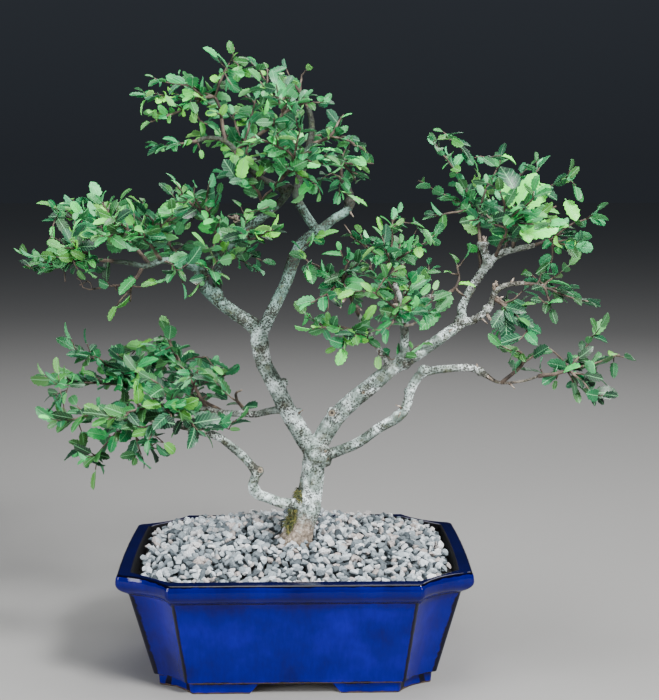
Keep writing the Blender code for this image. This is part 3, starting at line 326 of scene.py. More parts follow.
# Dry spurs: from where, to where, and the radius of the foot in metres.
SPURS = [
    ((81, -34, 208), (76, -38, 212), 0.0008), ((80, -34, 206), (78, -39, 202.5), 0.0007),
    ((3, -3, 199), (7, -6, 203), 0.0007), ((136, -44, 239), (136, -44, 244), 0.0012),
    ((152, -27, 297), (150, -29, 303), 0.0018), ((163, -28, 302), (165, -30, 307), 0.0011),
    ((150, -26, 290), (157, -30, 293), 0.0013), ((152, -27, 293), (160, -31, 287), 0.001),
    ((145, -24, 280), (152, -29, 270), 0.0013), ((140, -22, 277), (146, -27, 272), 0.0009),
    ((116, -21, 262), (120, -24, 268), 0.001), ((143, -45, 236), (148, -48, 232), 0.0012),
    ((159, -47, 230), (164, -50, 226), 0.0009), ((82, -20, 284), (74, -30, 287), 0.0016),
    ((80, -19, 279), (66, -30, 277), 0.0013), ((84, -20, 270), (92, -30, 274), 0.0012),
    ((88, -22, 286), (96, -30, 290), 0.0014), ((38, -34, 292), (34, -42, 286), 0.0012),
    ((42, -31, 288), (50, -40, 284), 0.0012), ((44, 47, 360), (50, 44, 366), 0.0014),
    ((42, 45, 356), (47, 40, 350), 0.0011), ((-45, -9, 351), (-50, -12, 353), 0.0013),
    ((-72, -2, 300), (-78, -6, 303), 0.0011), ((-24, 0, 384), (-20, -6, 389), 0.001),
]

# Ends of stubs where the wood has splintered.
SPLINTERED = [
    (145, -2, 333, 3.4), (152, -28, 302, 1.8), (-44, -9, 351, 2.4), (45, 47, 363, 2.8),
]

# One leaf's edge from stalk to tip: how far along, and the half width as a share of the widest.
LEAF_EDGE = [
    (0.0, 0.05), (0.1, 0.06), (0.16, 0.52), (0.28, 0.88), (0.34, 0.72), (0.47, 1.0), (0.53, 0.84),
    (0.67, 1.0), (0.73, 0.78), (0.86, 0.76), (0.91, 0.54), (1.0, 0.1),
]

# Each cloud of foliage: length of a full-grown leaf and spacing of the shoots along a twig, in metres, how
# often a twig is tried for a gap, and how light its leaves are, from 0 to 1.
# The leaves are darker in the low shelf and the far twig, which hang under other clouds, as painted shade.
PAD_GROWTH = {
    "crown": (0.0132, 0.0135, 80, 0.45),
    "left_shelf": (0.0146, 0.0105, 900, 0.41),
    "low_shelf": (0.0162, 0.0120, 450, 0.26),
    "centre_tuft": (0.0142, 0.0150, 60, 0.35),
    "right_crown": (0.0140, 0.0220, 0, 0.42),
    "far_twig": (0.0155, 0.0300, 0, 0.18),
}

# Where further leafy twigs reach to in each cloud.
EXTRA_TIPS = {
    "crown": [
        (-28, -22, 382), (-12, -26, 374), (2, -24, 382), (16, -22, 377), (28, -20, 385), (38, -12, 379),
        (44, -4, 367), (-20, -14, 368), (8, -10, 371), (34, -16, 368), (-76, -18, 432), (-70, -16, 424),
        (-64, -20, 421), (-58, -14, 430), (-40, -22, 376), (20, -18, 366), (-36, -24, 393), (-22, -24, 395),
        (-14, -26, 388), (-30, -20, 384), (-6, -26, 384), (-52, -20, 460), (-46, -24, 450), (-110, -14, 440),
    ],
    "left_shelf": [
        (-100, -30, 322), (-88, -24, 313), (-76, -28, 319), (-62, -26, 309), (-52, -24, 322), (-72, -20, 302),
        (-84, -22, 303), (-46, -30, 338), (-36, -26, 350), (-28, -22, 342), (-40, -20, 360), (-24, -18, 356),
        (-56, -22, 345), (-96, -26, 307), (-44, 16, 318), (-28, 14, 308), (-110, -24, 312), (-34, 12, 330),
        (-66, -30, 331), (-20, -20, 366),
    ],
    "low_shelf": [
        (-62, -30, 196), (-50, -28, 192), (-44, -34, 200), (-70, -36, 190), (-158, -38, 172),
        (-150, -40, 164), (-56, -40, 206), (-140, -42, 212), (-172, -44, 214), (-176, -40, 206),
        (-176, -40, 236), (-160, -42, 184),
    ],
    "centre_tuft": [
        (66, -24, 338), (76, -26, 346), (86, -26, 348), (96, -24, 344), (104, -20, 334), (60, -22, 328),
        (54, -26, 256), (64, -24, 248), (74, -22, 244), (88, -24, 250), (20, -30, 338), (8, -28, 334),
        (92, -24, 330), (96, -26, 256), (14, -38, 277), (22, -40, 270), (52, -40, 276), (54, -38, 268),
        (90, -28, 340),
    ],
    "right_crown": [
        (118, -16, 410), (126, -18, 402), (134, -16, 396), (146, -16, 396), (156, -16, 398), (112, -14, 416),
        (214, -18, 372), (206, -16, 386),
    ],
    "far_twig": [
        (205, -46, 240), (216, -48, 246), (228, -48, 248), (238, -48, 246), (224, -46, 229), (210, -44, 226),
        (196, -44, 232), (184, -44, 240), (192, -46, 238), (206, -44, 222),
    ],
}

# Where this year's bright yellow-green growth is: place and reach.
FRESH_SPOTS = [
    (122, -22, 296, 7), (50, -45, 264, 8), (-25, -30, 344, 9), (-112, -50, 224, 9), (200, -20, 331, 8),
    (-95, 0, 440, 8), (60, -40, 398, 6),
]

# Where the foliage is thin, as seen from the front: x, z and reach.
THINNED = [
    (-5, 470, 16), (20, 456, 16), (42, 442, 15), (60, 430, 12), (-118, 472, 8), (-73, 466, 7), (-37, 482, 5),
    (15, 470, 7), (-97, 414, 8), (-112, 406, 7), (-50, 392, 8), (-58, 381, 9), (66, 392, 8), (60, 374, 9),
    (26, 363, 7), (-182, 334, 9), (-159, 372, 7), (-172, 300, 14), (-150, 290, 16), (-132, 294, 12),
    (-128, 272, 14), (-112, 280, 12), (-81, 297, 6), (-23, 311, 9), (-22, 328, 7), (-20, 362, 7), (0, 298, 7),
    (0, 272, 7), (20, 255, 8), (39, 343, 7), (82, 366, 7), (94, 365, 7), (117, 342, 9), (114, 319, 8),
    (138, 333, 12), (130, 303, 13), (150, 300, 12), (105, 416, 6), (122, 419, 7), (93, 385, 8), (124, 354, 8),
    (223, 330, 8), (214, 361, 7), (214, 312, 8), (235, 284, 7), (179, 276, 8), (198, 262, 13), (178, 258, 9),
    (-28, 218, 16), (-194, 220, 8), (-195, 194, 8), (-159, 162, 7), (-114, 160, 7), (-132, 259, 10),
    (-69, 252, 11), (-47, 229, 9), (-40, 212, 8), (-112, 266, 12),
]

# Single leaves that stand out of a cloud: their foot, tip, shade and newness.
FEATURE_LEAVES = {
    "right_crown": [
        ((168, -16, 359), (182, -24, 384), 0.98, 0.45), ((172, -16, 358), (190, -26, 376), 0.95, 0.55),
        ((166, -16, 359), (155, -26, 378), 0.9, 0.5), ((175, -24, 339), (197, -34, 347), 0.98, 0.45),
        ((170, -22, 352), (176, -32, 334), 0.9, 0.6), ((171, -14, 362), (160, -16, 392), 0.3, 0),
        ((205, -16, 366), (212, -26, 350), 0.8, 0.6),
    ],
    "centre_tuft": [
        ((118, -24, 296), (108, -36, 284), 0.45, 0.1), ((110, -24, 283), (96, -38, 272), 0.55, 0.1),
    ],
    "crown": [((-42, -30, 380), (-50, -38, 394), 0.25, 0), ((-40, -30, 380), (-36, -40, 395), 0.9, 0.7)],
    "far_twig": [
        ((157, -36, 286), (172, -44, 284), 0.25, 0), ((157, -36, 284), (148, -44, 272), 0.2, 0),
        ((158, -36, 283), (159, -46, 262), 0.2, 0), ((160, -38, 280), (178, -46, 272), 0.22, 0),
    ],
}


def linear(hex_colour):
    """A colour written as sRGB hex, as the linear values that a shader takes."""
    shares = [int(hex_colour[i : i + 2], 16) / 255 for i in (1, 3, 5)]
    return (*[s / 12.92 if s <= 0.04045 else ((s + 0.055) / 1.055) ** 2.4 for s in shares], 1.0)


def node(tree, kind, inputs=(), output=0, stops=(), **settings):
    """Adds a shader node with its settings and links, and gives back one of its outputs.

    Inputs are named or numbered, or follow the node's order. Each is a value, a hex colour, or the socket
    that feeds it. Stops are a ramp's places and colours. A pattern's scale is how often it comes in a metre,
    so that 330 is a pattern of 3 mm.
    """
    made = tree.nodes.new("ShaderNode" + kind)
    for name, value in settings.items():
        setattr(made, name, value)
    for name, value in inputs.items() if isinstance(inputs, dict) else enumerate(inputs):
        if isinstance(value, bpy.types.NodeSocket):
            tree.links.new(value, made.inputs[name])
        else:
            made.inputs[name].default_value = linear(value) if isinstance(value, str) else value
    for i, (position, colour) in enumerate(stops):
        element = made.color_ramp.elements[i] if i < 2 else made.color_ramp.elements.new(position)
        element.position = position
        element.color = linear(colour)
    return made.outputs[output]


def finish(name, roughness, ior=1.5, **sockets):
    """A new material with its shader's constant values, and the function that adds a node to it."""
    made = bpy.data.materials.new(name)
    made.use_nodes = True
    shader = made.node_tree.nodes["Principled BSDF"]
    for socket, value in {"Roughness": roughness, "IOR": ior, **sockets}.items():
        shader.inputs[socket.replace("_", " ")].default_value = value
    return made, partial(node, made.node_tree)


def dressed(made, colour, relief=None, strength=0.0, depth=0.0, roughness=None):
    """The material with what varies over it: its colour, bumps of a depth, and roughness."""
    tree = made.node_tree
    raised = relief and node(tree, "Bump", {"Height": relief, "Strength": strength, "Distance": depth})
    for socket, source in (("Base Color", colour), ("Normal", raised), ("Roughness", roughness)):
        if source:
            tree.links.new(source, tree.nodes["Principled BSDF"].inputs[socket])
    return made


def bark_finish():
    """Living elm bark: thin and nearly smooth, pale grey where lichen covers it, dull, with dark pores.

    The pores are raised specks of 1 to 1.5 mm. Olive algae grow in patches of about a centimetre, most of
    all on the undersides. Young wood is browner, the root crown has a brown skin where the soil used to
    reach, and a healed cut is a pale disc in a dark rim. The upper limbs of the left leader are darker and
    greener under the foliage: partly a thin coat of algae, partly painted shade.
    """
    made, add = finish("elm_bark", 0.8)
    place = add("TexCoord", output="Object")
    girth, foot, scar, crack = (add("Attribute", output="Fac", attribute_name=name) for name in WOOD_MAPS)
    upness = add("SeparateXYZ", [add("NewGeometry", output="Normal")], "Z")
    patches, mottle, algae, spread, crumbs = (
        add("TexNoise", {"Vector": place, "Scale": scale, "Detail": detail, "Roughness": rough})
        for scale, detail, rough in [(60, 4, 0.6), (330, 4, 0.7), (150, 5, 0.7), (70, 2, 0.5), (380, 4, 0.7)]
    )
    wobble = add("TexNoise", {"Vector": place, "Scale": 900.0}, "Color")
    wobble = add("VectorMath", {0: wobble, "Scale": 0.0016}, operation="SCALE")
    uneven = add("VectorMath", [place, wobble], operation="ADD")
    pore = add("Math", [spread, 0.98], operation="MULTIPLY")
    pore = add("Math", [pore, add("TexVoronoi", {"Vector": uneven, "Scale": 620.0})], operation="SUBTRACT")
    pore = add("MapRange", [pore, 0.0, 0.12])
    crowded = add("Math", [spread, 0.36], operation="GREATER_THAN")
    pore = add("Math", [pore, crowded], operation="MULTIPLY")
    pore_share = add("Math", [pore, 0.86], operation="MULTIPLY")
    # Partly algae, partly painted shade: the upper left limbs under the foliage are darkened green-grey.
    reach = [add("MapRange", [add("SeparateXYZ", [place], axis), *span]) for axis, span in zip("XZ", FILM_AND_SHADE)]
    film_and_painted_shade = add("Math", reach, operation="MULTIPLY")
    growth = add("Math", [upness, -0.07, algae], operation="MULTIPLY_ADD")
    flakes = add("Math", [mottle, 1.6, -0.8], operation="MULTIPLY_ADD")
    crack = add("Math", [crack, flakes], operation="ADD")
    skin, old, warmth, shade, growth, earth, cut, cut_share, crack = (
        add("ValToRGB", [share], stops=stops)
        for share, stops in [
            (patches, [(0.35, "#4A4139"), (0.65, "#989083")]),
            (patches, [(0.36, "#58685F"), (0.47, "#9CADA6"), (0.58, "#ECFAF9")]),
            (spread, [(0.54, "#000000"), (0.70, "#909090")]),
            (mottle, [(0.34, "#62645A"), (0.54, "#FFFFFF")]),
            (growth, [(0.54, "#000000"), (0.63, "#D8D8D8")]),
            (crumbs, [(0.32, "#4A4036"), (0.5, "#85786A"), (0.68, "#B4A698")]),
            (scar, [(0.30, "#4A4339"), (0.52, "#968C7A"), (0.75, "#5A5145"), (1.0, "#221C17")]),
            (scar, [(0.12, "#000000"), (0.34, "#FFFFFF")]),
            (crack, [(0.30, "#000000"), (0.58, "#D8D8D8")]),
        ]
    )
    old = add("Mix", {0: warmth, 6: old, 7: "#A3917A"}, 2, data_type="RGBA")
    # The green-grey multiply darkens the upper left limbs: partly algae, partly painted shade.
    for share, coat, blend in [
        (girth, old, "MIX"), (0.8, shade, "MULTIPLY"), (film_and_painted_shade, "#7E9A90", "MULTIPLY"),
        (growth, "#4F5338", "MIX"), (pore_share, "#1F1D15", "MIX"), (foot, earth, "MIX"),
        (cut_share, cut, "MIX"), (crack, "#3E3B32", "MIX"),
    ]:
        skin = add("Mix", {0: share, 6: skin, 7: coat}, 2, data_type="RGBA", blend_type=blend)
    return dressed(made, skin, add("Math", [pore, 0.5, mottle], operation="MULTIPLY_ADD"), 0.9, 0.0008)


def twig_finish():
    """This year's and last year's elm shoots: thin red-brown bark, dull, with tiny pale pores."""
    made, add = finish("elm_twig_bark", 0.7)
    place = add("TexCoord", output="Object")
    age = add("TexNoise", {"Vector": place, "Scale": 120.0, "Detail": 3.0})
    specks = add("TexNoise", {"Vector": place, "Scale": 1400.0})
    browns = [(0.32, "#221A16"), (0.5, "#42352C"), (0.62, "#605246"), (0.74, "#867A6C")]
    pale = add("ValToRGB", [specks], stops=[(0.62, "#000000"), (0.68, "#808080")])
    skin = add("Mix", {0: pale, 6: add("ValToRGB", [age], stops=browns), 7: "#B5A088"}, 2, data_type="RGBA")
    return dressed(made, skin, specks, 0.5, 0.0004)


def leaf_finish(name, greens, fresh, vein, roughness, coat):
    """Living elm leaf: a thin leathery blade whose wax gives it a soft gloss above and hardly any below.

    Old leaves are dark and new ones yellow-green: the tint map holds the leaf's shade, partly painted shade
    in the clouds that hang under others, and how new it is.
    The blade map runs across and along the leaf. A real blade has about ten pairs of side veins, 1.3 mm
    apart. Seven pairs are drawn, so that they show.
    """
    made, add = finish(name, roughness, 1.45, Coat_Weight=coat, Coat_Roughness=0.3)
    place = add("TexCoord", output="Object")
    maps = [add("UVMap", uv_map="tint"), add("UVMap", uv_map="blade")]
    own_shade, newness, across, along = (add("SeparateXYZ", [uv], axis) for uv in maps for axis in "XY")
    blotches, skin_grain = (add("TexNoise", {"Vector": place, "Scale": scale}) for scale in (240.0, 900.0))
    shade = add("Math", [blotches, 0.26, -0.13], operation="MULTIPLY_ADD")
    shade = add("Math", [own_shade, shade], operation="ADD", use_clamp=True)
    green = add("ValToRGB", [shade], stops=list(zip((0.0, 0.35, 0.7, 1.0), greens)))
    aside = add("Math", [across, 0.5], operation="SUBTRACT")
    aside = add("Math", [aside], operation="ABSOLUTE")
    midrib = add("ValToRGB", [aside], stops=[(0.012, "#FFFFFF"), (0.042, "#000000")])
    rows = add("Math", [along, 8.0], operation="MULTIPLY")
    rows = add("Math", [aside, -4.2, rows], operation="MULTIPLY_ADD")
    rows = add("Math", [rows, 0.5], operation="PINGPONG")
    veins = add("ValToRGB", [rows], stops=[(0.0, "#FFFFFF"), (0.13, "#000000")])
    midrib_share = add("Math", [midrib, 0.5], operation="MULTIPLY")
    vein_share = add("Math", [veins, 0.25], operation="MULTIPLY")
    for share, colour in [(newness, fresh), (midrib_share, vein), (vein_share, vein)]:
        green = add("Mix", {0: share, 6: green, 7: colour}, 2, data_type="RGBA")
    relief = add("Math", [skin_grain, 0.5], operation="MULTIPLY")
    for line, rise in [(veins, -0.6), (midrib, -1.0)]:
        relief = add("Math", [line, rise, relief], operation="MULTIPLY_ADD")
    return dressed(made, green, relief, 0.6, 0.0004)


def stone_finish():
    """Crushed grey granite and lava grit, 5 to 8 mm: dull and finely pitted, grey, blue-grey and pinkish."""
    made, add = finish("crushed_stone", 0.85)
    place = add("TexCoord", output="Object")
    sort = add("SeparateXYZ", [add("UVMap", uv_map="tint")], "X")
    # The darkest sorts, below 0.12, are also what the lower course takes as painted shade between the upper
    # stones.
    sorts = [(0.0, "#3E474D"), (0.2, "#7A858B"), (0.45, "#ACB6BC"), (0.72, "#DEE6EB"), (0.88, "#B8ACA6")]
    rock = add("ValToRGB", [sort], stops=[*sorts, (1.0, "#F6F8F9")])
    grains = add("TexNoise", {"Vector": place, "Scale": 900.0, "Detail": 4.0, "Roughness": 0.75})
    grey = add("ValToRGB", [grains], stops=[(0.3, "#6F7476"), (0.6, "#FFFFFF")])
    rock = add("Mix", {0: 0.75, 6: rock, 7: grey}, 2, data_type="RGBA", blend_type="MULTIPLY")
    return dressed(made, rock, grains, 0.8, 0.0007)


def crease_line(add, spot, wander, index):
    """Share of bare clay along the pot's upright creases that stand at one distance from the middle.

    The creases lean in with the walls, so their distance is worked out from the height.
    """
    low = RIM[index] - WALL_TAPER - BASE_CUT[index]
    high = RIM[index] - LIP_OVERHANG[index] - RIM_CUT[index] * NECK_CUT_SHARE
    slope = (high - low) / (NECK_HEIGHT - FOOT_HEIGHT)
    across = add("Math", [spot[index], HOME[index]], operation="SUBTRACT")
    across = add("Math", [across], operation="ABSOLUTE")
    crease = add("Math", [spot[2], slope, low - slope * (FOOT_HEIGHT + HOME.z)], operation="MULTIPLY_ADD")
    away = add("Math", [crease, across], operation="SUBTRACT")
    away = add("Math", [away, 0.0002], operation="SUBTRACT")
    away = add("Math", [away], operation="ABSOLUTE")
    away = add("Math", [away, wander], operation="SUBTRACT")
    return add("MapRange", [away, 0.0003, CREASE_REACH[index], 1.0, 0.0])


def glaze_finish():
    """Cobalt glaze on stoneware, dipped and fired: a thick glass coat that runs down in fine streaks.

    It breaks to a brown-black line where it is thin, at the upright creases and along the rim's top edge, and
    stops at the foot, whose edge is bare brown clay. Painted shade darkens the lip, a painted dark reflection
    darkens the level rim, and lines of painted shadow lie in the crease under the lip and above the feet. The
    gloss is held low, because a pale floor mirrored at full strength greys the blue.
    """
    made, add = finish("cobalt_glaze", 0.08, Specular_IOR_Level=0.22)
    place = add("TexCoord", output="Object")
    spot = [add("SeparateXYZ", [place], axis) for axis in "XYZ"]
    runs = add("Mapping", {"Vector": place, "Scale": (1.0, 1.0, 0.16)})
    streaks, clouds, edges, waves = (
        add("TexNoise", {"Vector": where, "Scale": scale, "Detail": detail, "Roughness": rough})
        for where, scale, detail, rough in [
            (runs, 330, 4, 0.65), (place, 26, 3, 0.5), (place, 160, 3, 0.5), (place, 45, 2, 0.5)
        ]
    )
    depth = add("Math", [clouds, 0.75], operation="MULTIPLY")
    depth = add("Math", [streaks, 0.22, depth], operation="MULTIPLY_ADD")
    glass = add("ValToRGB", [depth], stops=[(0.30, "#03004C"), (0.50, "#06006A"), (0.72, "#0C048C")])
    upness = add("SeparateXYZ", [add("NewGeometry", output="Normal")], "Z")
    # Painted dark reflection: faces that look up, the level rim most of all, are darkened as if they mirrored
    # a dark room.
    level = add("ValToRGB", [upness], stops=[(0.45, "#000000"), (0.9, "#E0E0E0")])
    neck = HOME.z + NECK_HEIGHT
    # Painted shade: the glaze is darkened to navy from the lip's neck up.
    lip_painted_shade = add("MapRange", [spot[2], neck, neck + 0.006, 0.0, 0.55])
    wander = add("Math", [edges, 0.0016, -0.0002], operation="MULTIPLY_ADD")
    thin = add("Math", [crease_line(add, spot, wander, index) for index in (0, 1)], operation="MAXIMUM")
    under_lip = add("Math", [spot[2], neck], operation="LESS_THAN")
    thin = add("Math", [thin, under_lip], operation="MULTIPLY")
    # The line along the rim's top edge is thin glaze; the lines in the crease under the lip and on the ledge
    # above the feet are painted shadow.
    for height, reach in [
        (POT_HEIGHT - 0.0007, 1.3), (NECK_HEIGHT + 0.0006, 0.8), (FOOT_HEIGHT + 0.0008, 2.2)
    ]:
        away = add("Math", [spot[2], HOME.z + height], operation="SUBTRACT")
        away = add("Math", [away], operation="ABSOLUTE")
        width = add("Math", [wander, reach], operation="MULTIPLY")
        line = add("Math", [away, width], operation="LESS_THAN")
        thin = add("Math", [thin, line], operation="MAXIMUM")
    for share in (add("Math", [upness, 0.93], operation="LESS_THAN"), 0.94):
        thin = add("Math", [thin, share], operation="MULTIPLY")
    clay = add("ValToRGB", [edges], stops=[(0.35, "#1E1611"), (0.65, "#46372C")])
    edge = add("Math", [edges, 0.0020, HOME.z + 0.0002], operation="MULTIPLY_ADD")
    bare = add("Math", [spot[2], edge], operation="LESS_THAN")
    # Coats: painted shade on the lip, painted dark reflection on level faces, the near-black lines of thin
    # glaze and painted shadow, and the bare clay.
    for share, coat in [(lip_painted_shade, "#000138"), (level, "#00021A"), (thin, "#040304"), (bare, clay)]:
        glass = add("Mix", {0: share, 6: glass, 7: coat}, 2, data_type="RGBA")
    dullness = add("MapRange", {"Value": bare, "To Min": 0.08, "To Max": 0.75})
    relief = add("Math", [streaks, 0.10, waves], operation="MULTIPLY_ADD")
    return dressed(made, glass, relief, 0.25, 0.0022, dullness)


def grained_finish(name, roughness, grain, stops, bumps=None, fine=None, ior=1.5, **sockets):
    """A finish in which one grain gives the colours, and the same or a finer one the bumps.

    The grain is a noise's scale, detail and, where it isn't 0.5, roughness. Bumps are a strength and a depth.
    """
    made, add = finish(name, roughness, ior, **sockets)
    pattern = dict(zip(("Scale", "Detail", "Roughness"), grain), Vector=add("TexCoord", output="Object"))
    grains = add("TexNoise", pattern)
    colour = add("ValToRGB", [grains], stops=stops)
    if not bumps:
        return dressed(made, colour)
    relief = add("TexNoise", {"Vector": pattern["Vector"], "Scale": fine}) if fine else grains
    return dressed(made, colour, relief, *bumps)


def dead_wood_finish():
    """Dead elm wood, weathered: dull and silvery brown, darker where the bark still clings."""
    stops = [(0.36, "#3A3029"), (0.5, "#7D6F62"), (0.64, "#B9AEA2")]
    return grained_finish("dead_elm_wood", 0.85, (260, 4, 0.7), stops, (0.8, 0.0005))


def moss_finish():
    """Living moss and its dry tips: soft matt green with straw-coloured ends."""
    stops = [(0.35, "#1A2209"), (0.5, "#444F18"), (0.66, "#80762F")]
    return grained_finish("moss", 0.9, (330, 3), stops, Sheen_Weight=0.2)


def earth_finish(name, dark, light):
    """Damp bonsai soil, and the grit bed under the stones: crumbs of 2 to 4 mm and dull. The bed's near-black
    colours are painted shade between the stones.
    """
    return grained_finish(name, 0.95, (320, 4, 0.7), [(0.35, dark), (0.7, light)], (1.0, 0.0012))


def mesh_plastic_finish():
    """Moulded polyethylene drainage mesh: black, slightly waxy, with a fine moulding grain."""
    stops = [(0.3, "#131514"), (0.7, "#26292A")]
    return grained_finish("drain_mesh_plastic", 0.5, (220, 3), stops, (0.2, 0.0002), 1500.0, 1.51)


def clay_finish(name, dark, light, roughness, gloss):
    """Fired stoneware without its blue glass, inside the pot and under it: finely gritty. Under the pot it is
    iron-brown; inside it is near black, as painted shade in the pot's hollow.
    """
    stops = [(0.35, dark), (0.65, light)]
    return grained_finish(name, roughness, (420, 4, 0.65), stops, (0.4, 0.0006), Specular_IOR_Level=gloss)


def helper(name, data):
    """A new object in the scene."""
    obj = bpy.data.objects.new(name, data)
    bpy.context.scene.collection.objects.link(obj)
    return obj


def mesh_of(bm, name):
    """The bmesh as a mesh. The bmesh is freed."""
    mesh = bpy.data.meshes.new(name)
    bm.to_mesh(mesh)
    bm.free()
    return mesh


def piece(bm, name, finishes, stands_for=(), crease_angle=None):
    """A finished piece: the bmesh moved from the pot's centre to its place in the frame."""
    bmesh.ops.translate(bm, verts=bm.verts, vec=HOME)
    mesh = mesh_of(bm, name)
    mesh.shade_smooth()
    if crease_angle is not None:
        mesh.set_sharp_from_angle(angle=math.radians(crease_angle))
    for made in finishes:
        mesh.materials.append(made)
    obj = helper(name, mesh)
    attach(obj, "root")
    if stands_for:
        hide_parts(*stands_for)
    return obj


def evaluated_bmesh(obj):
    """The object's evaluated mesh as a bmesh. The object is removed."""
    graph = bpy.context.evaluated_depsgraph_get()
    mesh = bpy.data.meshes.new_from_object(obj.evaluated_get(graph))
    bpy.data.objects.remove(obj, do_unlink=True)
    bm = bmesh.new()
    bm.from_mesh(mesh)
    bpy.data.meshes.remove(mesh)
    return bm


def add_copy(bm, template, matrix, tint):
    """Adds a copy of a template mesh to the bmesh, with its own two tint values."""
    copy = template.copy()
    copy.transform(matrix)
    copy.uv_layers["tint"].uv.foreach_set("vector", list(tint) * len(copy.loops))
    bm.from_mesh(copy)
    bpy.data.meshes.remove(copy)


def soften(bm, edges, width, segments):
    """Bevels some edges of the bmesh."""
    bmesh.ops.bevel(
        bm, geom=edges, offset=width, offset_type="OFFSET", affect="EDGES", segments=segments, profile=0.5,
        material=-1,
    )


def any_direction(rng):
    """A random direction of length 1."""
    height = rng.uniform(-1, 1)
    angle = rng.uniform(0, math.tau)
    flat = math.sqrt(1 - height * height)
    return Vector((flat * math.cos(angle), flat * math.sin(angle), height))


def between(low, high, share):
    """The value at a share of the way from low to high."""
    return low + (high - low) * share


def clamped(value):
    """The value, held between 0 and 1."""
    return min(1.0, max(0.0, value))


def metres(point):
    """A table's point, with or without a radius, in metres."""
    return Vector(point) / 1000


def nearness(place, balls):
    """Distance from the middle of a table's nearest ball, as a share of its radius."""
    return min((place - metres(ball[:3])).length / (ball[3] / 1000) for ball in balls)


def stick(*rows):
    """Places and their radii as the points of a tube's line."""
    return [Vector((*place, radius)) for place, radius in rows]


def smooth_line(points, step):
    """A Catmull-Rom line through points whose fourth value is the radius, with a place about every step."""
    ends = [2 * points[0] - points[1], *points, 2 * points[-1] - points[-2]]
    line = []
    for before, start, end, after in zip(ends, ends[1:], ends[2:], ends[3:]):
        count = max(1, round((end - start).length / step))
        for k in range(count):
            t = k / count
            slope = (end - before) * t
            curve = (2 * before - 5 * start + 4 * end - after) * t**2
            turn = (3 * start - before - 3 * end + after) * t**3
            line.append(0.5 * (2 * start + slope + curve + turn))
    return [*line, points[-1]]


def lengths_of(line):
    """Length of each stretch of a line."""
    return [(end - start).to_3d().length for start, end in zip(line, line[1:])]


def place_on(line, share):
    """Place and direction at a share of a line's length."""
    lengths = lengths_of(line)
    left = share * sum(lengths)
    for i, length in enumerate(lengths):
        if left <= length or i == len(lengths) - 1:
            direction = (line[i + 1] - line[i]).to_3d().normalized()
            return line[i].lerp(line[i + 1], min(1.0, left / length)), direction
        left -= length


def tubes(lines, resolution):
    """One bmesh of closed round tubes along lines whose fourth value is the radius."""
    curve = bpy.data.curves.new("tubes", "CURVE")
    curve.dimensions = "3D"
    curve.bevel_depth = 1.0
    curve.bevel_resolution = resolution
    curve.use_fill_caps = True
    for line in lines:
        spline = curve.splines.new("POLY")
        spline.points.add(len(line) - 1)
        for point, place in zip(spline.points, line):
            point.co = (*place.to_3d(), 1.0)
            point.radius = max(place.w, 0.0001)
    bm = evaluated_bmesh(helper("tubes", curve))
    bmesh.ops.remove_doubles(bm, verts=bm.verts, dist=1e-6)
    bmesh.ops.recalc_face_normals(bm, faces=bm.faces)
    return bm


def ring(half, corner, z, scoop=0.0):
    """One level of the pot, anticlockwise from the front right: cut corners, hollowed, and bellied ends."""
    flat = (half[0] - corner[0], half[1] - corner[1])
    start = Vector((flat[0], -half[1]))
    end = Vector((half[0], -flat[1]))
    inwards = (end - start).orthogonal() * scoop
    shares = [i / CORNER_SEGMENTS for i in range(CORNER_SEGMENTS + 1)]
    front = [start.lerp(end, share) + inwards * 4 * share * (1 - share) for share in shares]
    along = (-0.6, -0.2, 0.2, 0.6)
    bellied = [Vector((half[0] + END_BOW * (1 - share * share), flat[1] * share)) for share in along]
    right = [*front, *bellied, *[Vector((p.x, -p.y)) for p in reversed(front)]]
    return [Vector((side * p.x, side * p.y, z)) for side in (1, -1) for p in right]


def inner_ring(z, inset):
    """The pot's inner wall at a height, set in from it. Its corners are straight."""
    share = (z - FLOOR_TOP) / (POT_HEIGHT - FLOOR_TOP)
    mouth = [r - w for r, w in zip(RIM, RIM_WIDTH)]
    half = [between(m - t, m, share) - inset for m, t in zip(mouth, FLOOR_TAPER)]
    return ring(half, [between(f, m, share) for f, m in zip(FLOOR_CUT, MOUTH_CUT)], z)


def extrude_rings(rings):
    """A closed body through rings of equally many points: the first ring's face, extruded ring by ring."""
    bm = bmesh.new()
    first = face = bm.faces.new([bm.verts.new(point) for point in rings[0]])
    for points in rings[1:]:
        grown = bmesh.ops.extrude_face_region(bm, geom=[face])["geom"]
        if face != first:
            bm.faces.remove(face)
        face = next(item for item in grown if isinstance(item, bmesh.types.BMFace))
        for vert, point in zip(face.verts, points):
            vert.co = point
    bmesh.ops.recalc_face_normals(bm, faces=bm.faces)
    return bm


def pot_cutters():
    """The hollow under the pot, the gaps between its feet, and its two drain holes."""
    base = [r - WALL_TAPER - FOOT_INSET - FOOT_WIDTH for r in RIM]
    bodies = [extrude_rings([ring(base, BASE_CUT, z) for z in (BELOW, FOOT_RECESS_DEPTH)])]
    for at_ends, half in enumerate(FOOT_OPENINGS):
        rings = []
        for z, width in ((BELOW, half + FOOT_OPENING_SLOPE), (FOOT_OPENING_HEIGHT, half)):
            corners = [(width, -BEYOND), (width, BEYOND), (-width, BEYOND), (-width, -BEYOND)]
            if at_ends:
                corners = [(y, x) for x, y in reversed(corners)]
            rings.append([Vector((x, y, z)) for x, y in corners])
        bodies.append(extrude_rings(rings))
    for side in (-1, 1):
        bm = bmesh.new()
        bmesh.ops.create_cone(
            bm, cap_ends=True, segments=32, radius1=DRAIN_RADIUS, radius2=DRAIN_RADIUS, depth=0.04
        )
        bmesh.ops.translate(bm, verts=bm.verts, vec=(side * DRAIN_X, 0, 0.01))
        bodies.append(bm)
    return [helper("cutter", mesh_of(bm, "cutter")) for bm in bodies]


